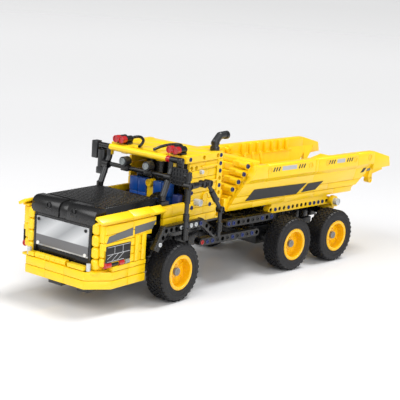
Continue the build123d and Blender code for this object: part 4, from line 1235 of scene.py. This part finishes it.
# ---- tipping bed --------------------------------------------------------------------------------
@dataclass
class Bed:
    """Panelled walls, drilled rails, ribs, stickers and the stacked front of the tipping bed."""

    bottom: float = 76.0
    rail_z: float = 114.0
    rail_foot_z: float = 105.5
    top: float = 126.0
    half_bottom: float = 50.0
    half_rail: float = 58.0
    front_y: float = -32.0
    front_slope: float = 0.69
    front_top: float = 130.0
    tail_y: float = 262.0
    ring_z: float = 119.4
    rings_y: tuple[float, ...] = (24.0, 97.0, 129.0, 184.0, 214.0)
    stack: tuple[tuple[float, float], ...] = ((96.0, 47.0), (104.4, 50.0), (112.8, 52.0), (121.2, 52.0))
    tail_outline: Outline = ((223.8, 103.0), (223.8, 126.0), (256.8, 117.0), (260.2, 104.6))

    def wall_matrix(self) -> Matrix:
        """Takes (across, y, up the wall) to the leaning left wall, 0 across at its outside."""
        lean = math.atan2(self.half_rail - self.half_bottom, self.rail_z - self.bottom)
        return Matrix.Translation((self.half_bottom, 0, self.bottom)) @ Matrix.Rotation(lean, 4, "Y")

    def slope_cut(self, obj: bpy.types.Object, shift: float = 0.0) -> bpy.types.Object:
        """Trims a piece along the bed's slanted front."""
        return trimmed(obj, (0, self.front_y + shift, self.bottom), (0, -1, self.front_slope))

    def side_wall(self) -> bpy.types.Object:
        """Left wall: two low courses and tall smooth panels with slanted joints."""
        high = math.hypot(self.half_rail - self.half_bottom, self.rail_z - self.bottom)
        made = course((-5.0, 0.0), (-34.0, 10.0, 66.0, 122.0, 160.0, 196.0), (0.1, 7.6))
        made += course((-5.0, -0.2), (-34.0, 38.0, 98.0, 146.0, 222.0), (7.8, 15.6))
        for y0, y1, depth in ((-34.0, 112.0, 0.0), (111.0, 196.0, -0.2), (195.0, 226.0, 0.0)):
            made.append(block((-5.0, y0, 15.8), (depth, y1, high), 0.5))
        wall = joined(made)
        wall.data.transform(self.wall_matrix())
        self.slope_cut(wall)
        trimmed(wall, (0, 195.0, self.bottom), (0, 15.0, -30.0))
        tail = joined(course((-5.0, 0.4), (225.0, 244.0, 263.0), (12.0, high)))
        tail.data.transform(self.wall_matrix())
        trimmed(tail, (0, 225.0, 91.0), (0, 7.0, -37.0))
        trimmed(tail, (0, self.tail_y, 98.0), (0, 24.0, 6.0))
        return joined([wall, tail])

    def runs_outside(self, edge: bmesh.types.BMEdge, level: float) -> bool:
        """Whether an edge of a rail's bar runs along its outside at a height."""
        a, b = edge.verts[0].co, edge.verts[1].co
        outer = min(a.x, b.x) > self.half_rail + 3 and abs(a.y - b.y) > 1
        return outer and abs((a.z + b.z) / 2 - level) < 0.1

    def rail(self) -> bpy.types.Object:
        """Left rail: chamfered panels end to end, with a lip."""
        made = []
        for y0, y1 in ((-34.0, 21.0), (21.3, 106.0), (106.3, 112.0), (112.3, 190.0), (190.3, 224.0)):
            low, high = (self.half_rail - 5.0, y0, self.rail_foot_z), (self.half_rail + 3.8, y1, self.top)
            bar = block(low, high, 0.0)
            only(bar)
            bpy.ops.object.mode_set(mode="EDIT")
            for level, width, steps in ((self.rail_foot_z, 5.6, 1), (self.top, 1.6, 3)):
                bevel_edges(bar, lambda edge: self.runs_outside(edge, level), width, steps)
            bpy.ops.object.mode_set(mode="OBJECT")
            made.append(eased(bar, 0.35))
        rail = self.slope_cut(joined(made))
        tail = eased(slanted_plate(self.tail_outline, self.half_rail - 5.0, 8.2), 0.7)
        spots = [(self.half_rail + 4.0, y, self.ring_z) for y in self.rings_y]
        return joined([drilled(rail, holes_x(spots, 6.0, 2.7)), tail])

    def rings(self) -> bpy.types.Object:
        """Raised rims round the rail's holes."""
        spots = [(self.half_rail + 3.3, y, self.ring_z) for y in self.rings_y]
        return repeated(cup(3.7, 1.6, (0, 0, 0), "X", 0.7, 0.5, 24), spots)

    def hazard(self) -> tuple[bpy.types.Object, bpy.types.Object]:
        """Dashes and blank plates on the left rail.

        Returns:
            The dashes and the plates.
        """
        dashes, plates = [], []
        x = self.half_rail + 3.62
        for y in (31.0, 35.5, 40.0, 76.0, 80.5, 85.0, 133.0, 137.5, 142.0, 168.0, 172.5, 177.0):
            dash = block((x, -1.0, -2.7), (x + 0.35, 1.0, 2.7), 0.1, 1)
            dash.data.transform(leaning((0, y, 119.8), -28))
            dashes.append(dash)
        for y0, y1 in ((45.0, 71.0), (147.0, 163.0)):
            plates.append(block((x, y0, 117.4), (x + 0.35, y1, 122.4), 0.12, 1))
        return joined(dashes), joined(plates)

    def side_film(self, outline: Outline) -> bpy.types.Object:
        """A thin sticker on the left wall.

        Args:
            outline: its four corners as (y, distance up the wall).

        Returns:
            The sticker.
        """
        film = slanted_plate(outline, 0.0, 0.3)
        film.data.transform(self.wall_matrix())
        return film

    def front_wall(self) -> bpy.types.Object:
        """Front wall of stacked beams, each course set back by the wall's slope."""
        made, z, row = [], self.bottom, 0
        while z < self.front_top - 0.5:
            top = min(z + PITCH, self.front_top)
            y = self.front_y + (z - self.bottom) * self.front_slope
            half = self.half_bottom - 5.0 + (z - self.bottom) * 8.0 / 38.0
            cuts = (-half, -half / 3, half / 3, half) if row % 2 else (-half, 0.0, half)
            for a, b in zip(cuts, cuts[1:]):
                made.append(block((a, y + 0.2, z + 0.1), (b, y + 13.0, top - 0.1), 0.5))
            z, row = top, row + 1
        wall = joined(made)
        trimmed(wall, (0, self.front_y + 8.0 + 5.6, self.bottom + 8.0), (0, 1, -self.front_slope))
        return wall

    def stacked_ends(self) -> bpy.types.Object:
        """Round-ended beams that step out beside the front wall, on the left."""
        made = []
        for z, reach in self.stack:
            y = self.front_y + (z - self.bottom) * self.front_slope
            made.append(block((reach - 22.0, y - 5.0, z), (reach, y + 4.0, z + 7.8), 1.8, 3))
            made.append(cup(3.6, 10.0, (reach - 4.0, y - 4.4, z + 3.9), "X", 1.0, 1.0, 20))
        made.append(block((30.0, self.front_y - 4.0, 78.0), (37.6, self.front_y + 6.0, 98.0), 1.2, 3))
        made.append(block((41.0, self.front_y - 1.0, 77.0), (47.0, self.front_y + 7.0, 90.0), 1.2, 3))
        return joined(made)

    def floor(self) -> bpy.types.Object:
        """Floor of smooth panels, then the ramp and the tail."""
        made = []
        for x0, x1 in ((-45.0, -15.1), (-15.0, 15.0), (15.1, 45.0)):
            for y0, y1 in ((-26.0, 46.0), (46.1, 120.0), (120.1, 195.0)):
                made.append(block((x0, y0, self.bottom), (x1, y1, self.bottom + 5.0), 0.4))
        for y0, z0, y1, z1, half in ((195.0, 76.0, 225.0, 91.0, 46.0), (225.0, 91.0, 262.0, 98.0, 49.0)):
            run, rise = math.hypot(y1 - y0, z1 - z0), math.atan2(z1 - z0, y1 - y0)
            for x0, x1 in ((-half, -half / 3), (-half / 3, half / 3), (half / 3, half)):
                ramp = block((x0 + 0.05, 0.0, 0.0), (x1 - 0.05, run, 4.6), 0.3)
                ramp.data.transform(Matrix.Translation((0, y0, z0)) @ Matrix.Rotation(rise, 4, "X"))
                made.append(ramp)
        lug_top = self.bottom + 0.4
        lugs = [block((x - 2.4, 127.0, 62.6), (x + 2.4, 137.0, lug_top), 1.6, 3) for x in (7.5, -7.5)]
        floor = joined(made)
        trimmed(floor, (0, self.tail_y, 98.0), (0, 24.0, 6.0))
        return joined([floor, *lugs])

    def inner_ribs(self) -> bpy.types.Object:
        """Upright ribs and a shelf on the inside of the left wall."""
        made = []
        for i in range(6):
            made.append(block((-6.2, 62.0 + 15.0 * i, 22.0), (-4.8, 66.0 + 15.0 * i, 36.0), 0.5))
        made.append(block((-6.6, -8.0, 10.0), (-4.8, 190.0, 14.0), 0.5))
        made.append(block((-7.0, 40.0, 18.0), (-4.8, 150.0, 21.0), 0.5))
        ribs = joined(made)
        ribs.data.transform(self.wall_matrix())
        inside = self.half_rail - 5.0
        high = [block((inside - 2.6, y, 112.0), (inside + 0.4, y + 5.0, 125.6), 0.6)
                for y in range(102, 187, 14)]
        high.append(block((inside - 1.4, 96.0, 110.0), (inside + 0.4, 200.0, 113.0), 0.4))
        high += [cup(3.4, 7.6, (inside - 2.6, 26.0 + 16.0 * i, 120.0), "X", 0.9, 0.9, 18) for i in range(4)]
        high += [block((inside - 3.2, y, 115.0), (inside + 0.4, y + 8.0, 125.0), 0.7)
                 for y in range(14, 79, 16)]
        return joined([ribs, *high])

    def both(self, obj: bpy.types.Object, name: str, look: Finish, nodes: Sequence[str] = ()) -> None:
        """Finishes a left piece and its mirror image as one."""
        finish(both_sides(obj), name, look, Unit.REAR, "bed", nodes)

    def build(self) -> None:
        """The whole bed."""
        self.both(self.side_wall(), "bed_side_panels", YELLOW, ["bed_side_left", "bed_side_right"])
        self.both(self.rail(), "bed_rail_panels", YELLOW, ["bed_rails"])
        self.both(self.rings(), "bed_rail_rings", DEEP_YELLOW)
        dashes, plates = self.hazard()
        self.both(dashes, "bed_rail_dashes", STICKER_BLACK)
        self.both(plates, "bed_rail_plates", STICKER_PALE)
        films = [self.side_film([(-4.0, 9.6), (7.0, 22.6), (101.0, 21.0), (86.0, 8.6)]),
                 self.side_film([(95.0, 9.6), (104.0, 20.0), (133.0, 20.4), (121.0, 10.4)])]
        self.both(joined(films), "bed_side_stickers", STICKER_BLACK)
        tail_film = self.side_film([(206.0, 24.0), (210.0, 29.6), (216.0, 29.8), (212.0, 24.2)])
        self.both(tail_film, "bed_tail_stickers", STICKER_BLACK)
        strip = self.side_film([(218.0, 25.0), (219.0, 28.4), (246.0, 30.4), (246.0, 27.6)])
        self.both(strip, "bed_tail_strips", STICKER_GREY)
        finish(self.front_wall(), "bed_front_bricks", YELLOW, Unit.REAR, "bed", ["bed_front_wall"])
        self.both(self.stacked_ends(), "bed_front_beams", YELLOW)
        pins = []
        for z, reach in self.stack:
            y = self.front_y + (z - 0.1 - self.bottom) * self.front_slope
            pins.append((reach + 1.2, y - 4.4, z + 3.9))
        self.both(repeated(pin_head(2.4, 2.6), pins), "bed_front_pins", PIN_BLUE)
        finish(self.floor(), "bed_floor_panels", YELLOW, Unit.REAR, "bed", ["bed_floor"])
        self.both(self.inner_ribs(), "bed_inner_ribs", YELLOW)
        # Black plugs in the beam's empty pin holes: painted shade standing in for the holes' dark depth.
        dark = [(44.0, 47.0 + PITCH * i, 68.5) for i in (0, 2, 3, 5, 6, 7, 8, 13)]
        self.both(repeated(cup(2.36, 6.4, (0, 0, 0), "X", 0.6, 0.6, 14), dark), "bed_beam_bores", BLACK)
        beam_pins = [(47.4, 47.0 + PITCH * i, 68.5) for i in (1, 4, 9, 10, 11, 12)]
        self.both(repeated(pin_head(2.25, 2.4), beam_pins), "bed_beam_pins", PIN_BLUE)
        hooks = [block((38.0, 238.0, 84.0), (46.0, 246.0, 93.6), 1.6, 3),
                 cup(3.6, 8.0, (42.0, 242.0, 85.0), "X", 1.0, 1.0)]
        self.both(joined(hooks), "bed_tail_hooks", YELLOW)


# ---- rear frame ---------------------------------------------------------------------------------
def axle_ends(y: float) -> list[bpy.types.Object]:
    """Bearings and sleeves on both sides of an axle's housing, at the axle's y."""
    made = [cup(6.4, 6.0, (x, y, AXLE_Z), "X", 1.2, 1.2) for x in (27.0, -27.0)]
    return made + [drum(4.4, 12.0, (x, y, AXLE_Z), "X") for x in (38.0, -38.0)]


@dataclass
class Chassis:
    """Pins in the side beams, gearbox blocks between the axles and the hinge's bushes."""

    step_x: float = 61.7
    step_y: float = -83.9
    step_z: float = 52.0
    beam_x: float = 55.5
    beam_y: float = -36.6
    beam_z: float = 65.0
    axles_y: tuple[float, float] = (64.5, 143.5)

    def both(self, obj: bpy.types.Object, name: str, look: Finish) -> None:
        """Finishes a left piece and its mirror image as one."""
        finish(both_sides(obj), name, look, Unit.REAR)

    def build(self) -> None:
        """Everything on the rear frame."""
        blue = [(self.step_x + 3.2, self.step_y + PITCH * i, self.step_z) for i in (1, 2, 6, 8, 10)]
        blue += [(self.beam_x + 3.2, self.beam_y + PITCH * i, self.beam_z) for i in (0, 1, 7, 9)]
        self.both(repeated(pin_head(2.28, 2.6), blue), "side_beam_pins_blue", PIN_BLUE)
        dark = [(self.step_x + 3.0, self.step_y + PITCH * i, self.step_z) for i in (3, 5, 7, 9)]
        dark += [(self.beam_x + 3.0, self.beam_y + PITCH * i, self.beam_z) for i in (3, 5, 6)]
        self.both(repeated(pin_head(2.28, 2.6), dark), "side_beam_pins_black", BLACK)
        red = repeated(pin_head(2.3), [(self.step_x + 3.2, self.step_y, self.step_z)])
        self.both(red, "side_beam_pins_red", RED_CLEAR)
        gear = []
        for y in self.axles_y:
            gear.append(block((-24.0, y - 12.0, 22.0), (24.0, y + 12.0, 43.8), 1.2, 3))
            gear += axle_ends(y)
        gear.append(cup(5.0, 56.0, (0.0, 104.0, 34.0), "Y", 1.0, 1.0))
        finish(joined(gear), "axle_housings", CHARCOAL, Unit.REAR)
        tray = [block((20.2, 40.0 + 17.0 * i, 47.0), (29.6, 55.0 + 17.0 * i, 60.0), 0.6) for i in range(7)]
        self.both(joined(tray), "frame_side_blocks", BLACK)
        self.both(cup(4.2, 3.0, (58.6, 159.0, 68.5), "X", 0.9, 0.8), "hinge_bushes", LIGHT_GREY)


@dataclass
class Underside:
    """Gearbox and links under the front unit."""

    axle_y: float = -142.0

    def build(self) -> None:
        """Front axle housing, its links and the frame's cross blocks."""
        y = self.axle_y
        made = [block((-24.0, y - 13.0, 21.0), (24.0, y + 13.0, 40.0), 1.2, 3), *axle_ends(y)]
        made.append(cup(5.0, 60.0, (0.0, -98.0, 35.0), "Y", 1.0, 1.0))
        finish(joined(made), "front_axle_housing", CHARCOAL, Unit.FRONT)
        rows = [block((26.2, y, 41.0), (34.0, y + 20.0, 57.0), 0.6) for y in range(-226, -81, 24)]
        finish(both_sides(joined(rows)), "front_frame_blocks", BLACK, Unit.FRONT)


# ---- frame nodes that stay ----------------------------------------------------------------------
class CarriedNodes:
    """Finishes for the frame's nodes whose own shape is kept."""

    looks = {
        "tyre_rubber": RUBBER, "yellow_plastic": YELLOW, "black_plastic": BLACK,
        "dark_grey_plastic": CHARCOAL, "light_grey_plastic": LIGHT_GREY, "silver_print": SILVER,
        "red_clear": RED_CLEAR, "blue_plastic": BLUE,
    }

    def dress(self) -> None:
        """Gives each kept node the finish of its material slot."""
        slots = {part["node"]: part["material_slot"] for part in frame["record"]["subparts"]}
        for name, obj in frame["nodes"].items():
            look = self.looks[slots.get(name, "black_plastic")]
            if name.startswith("rim_"):
                look = DEEP_YELLOW
            elif name.startswith("axle_"):
                look = AXLE_GREY
            obj.data.materials.clear()
            obj.data.materials.append(look.material())
        LOG.info("%d frame nodes dressed", len(frame["nodes"]))


# ---- studio -------------------------------------------------------------------------------------
@dataclass
class Studio:
    """Pale floor, soft lights and the camera."""

    azimuth: float = 43.11
    elevation: float = 12.14
    roll: float = 4.02
    lens: float = 103.4
    distance: float = 1.3015
    target: Point = (0.0, -21.6, 78.3)
    air_light: float = 0.55

    def camera(self) -> None:
        """The camera at its viewing angle."""
        az, el, roll = (math.radians(v) for v in (self.azimuth, self.elevation, self.roll))
        back = Vector((math.sin(az) * math.cos(el), -math.cos(az) * math.cos(el), math.sin(el)))
        right = Vector((math.cos(az), math.sin(az), 0.0))
        up = back.cross(right)
        across = math.cos(roll) * right + math.sin(roll) * up
        over = -math.sin(roll) * right + math.cos(roll) * up
        target = STAND.matrix(Unit.REAR) @ Vector(self.target)
        spot = target + back * self.distance
        data = bpy.data.cameras.new("camera")
        data.lens = self.lens
        data.sensor_width = 36.0
        data.clip_end = 50.0
        camera = bpy.data.objects.new("camera", data)
        turn = Matrix((across, over, back)).transposed().to_4x4()
        camera.matrix_world = Matrix.Translation(spot) @ turn
        bpy.context.scene.collection.objects.link(camera)
        bpy.context.scene.camera = camera

    def floor(self) -> None:
        """A large pale floor with a faint gloss."""
        clear_selection()
        bpy.ops.mesh.primitive_plane_add(size=30.0)
        floor = bpy.context.active_object
        floor.name = "studio_floor"
        made = bpy.data.materials.new("studio_white")
        made.use_nodes = True
        nodes, link = made.node_tree.nodes, made.node_tree.links.new
        shader = nodes["Principled BSDF"]
        shader.inputs["Base Color"].default_value = (0.78, 0.78, 0.79, 1.0)
        noise = nodes.new("ShaderNodeTexNoise")
        noise.inputs["Scale"].default_value = 6.0
        rough = nodes.new("ShaderNodeMapRange")
        rough.inputs["To Min"].default_value = 0.05
        rough.inputs["To Max"].default_value = 0.08
        link(noise.outputs["Fac"], rough.inputs["Value"])
        link(rough.outputs["Result"], shader.inputs["Roughness"])
        floor.data.materials.append(made)

    def light(self, name: str, towards: Point, strength: float, spread: float) -> None:
        """One broad even light.

        Args:
            name: its name.
            towards: the way that it comes from.
            strength: its irradiance.
            spread: the angle of its disc in degrees.
        """
        data = bpy.data.lights.new(name, "SUN")
        data.energy = strength
        data.angle = math.radians(spread)
        lamp = bpy.data.objects.new(name, data)
        lamp.location = Vector(towards)
        lamp.rotation_euler = (-Vector(towards)).to_track_quat("-Z", "Y").to_euler()
        bpy.context.scene.collection.objects.link(lamp)

    def surround(self) -> None:
        """White air behind the truck that lights it more softly than it looks."""
        world = bpy.data.worlds.new("studio_air")
        world.use_nodes = True
        nodes, link = world.node_tree.nodes, world.node_tree.links.new
        air = nodes["Background"]
        air.inputs["Color"].default_value = (1.0, 1.0, 1.0, 1.0)
        seen = nodes.new("ShaderNodeLightPath")
        place = nodes.new("ShaderNodeTexCoord")
        away = nodes.new("ShaderNodeVectorMath")
        away.operation = "DOT_PRODUCT"
        away.inputs[1].default_value = (-0.68, 0.73, 0.0)
        link(place.outputs["Generated"], away.inputs[0])
        behind = nodes.new("ShaderNodeMapRange")
        behind.inputs["From Min"].default_value = 0.1
        behind.inputs["From Max"].default_value = 0.8
        link(away.outputs["Value"], behind.inputs["Value"])
        parts = nodes.new("ShaderNodeSeparateXYZ")
        link(place.outputs["Generated"], parts.inputs["Vector"])
        above = nodes.new("ShaderNodeMapRange")
        above.inputs["From Min"].default_value = 0.08
        above.inputs["From Max"].default_value = 0.17
        link(parts.outputs["Z"], above.inputs["Value"])
        both = nodes.new("ShaderNodeMath")
        both.operation = "MULTIPLY"
        link(behind.outputs["Result"], both.inputs[0])
        link(above.outputs["Result"], both.inputs[1])
        shade = nodes.new("ShaderNodeMapRange")
        shade.inputs["To Min"].default_value = self.air_light
        shade.inputs["To Max"].default_value = 0.08
        link(both.outputs[0], shade.inputs["Value"])
        level = nodes.new("ShaderNodeMapRange")
        level.inputs["To Max"].default_value = 1.05
        link(shade.outputs["Result"], level.inputs["To Min"])
        link(seen.outputs["Is Camera Ray"], level.inputs["Value"])
        link(level.outputs["Result"], air.inputs["Strength"])
        bpy.context.scene.world = world

    def build(self) -> None:
        """Camera, floor, lights and a white surround."""
        self.camera()
        self.floor()
        self.light("key", (-0.4, -1.5, 1.3), 1.9, 50.0)
        self.light("fill", (1.6, -0.5, 0.8), 1.7, 60.0)
        self.light("over", (0.2, 0.9, 2.4), 2.7, 22.0)
        self.surround()
        bpy.context.scene.view_settings.view_transform = "Standard"


def main() -> None:
    """Builds every sub-assembly in order."""
    logging.basicConfig(level=logging.INFO, format="%(message)s")
    CarriedNodes().dress()
    for part in (Wheel(), Nose(), FrontSides(), Cab(), Bed(), Chassis(), Underside(), Studio()):
        part.build()
        LOG.info("%s done", type(part).__name__)
    bpy.context.view_layer.update()


if __name__ == "__main__":
    main()
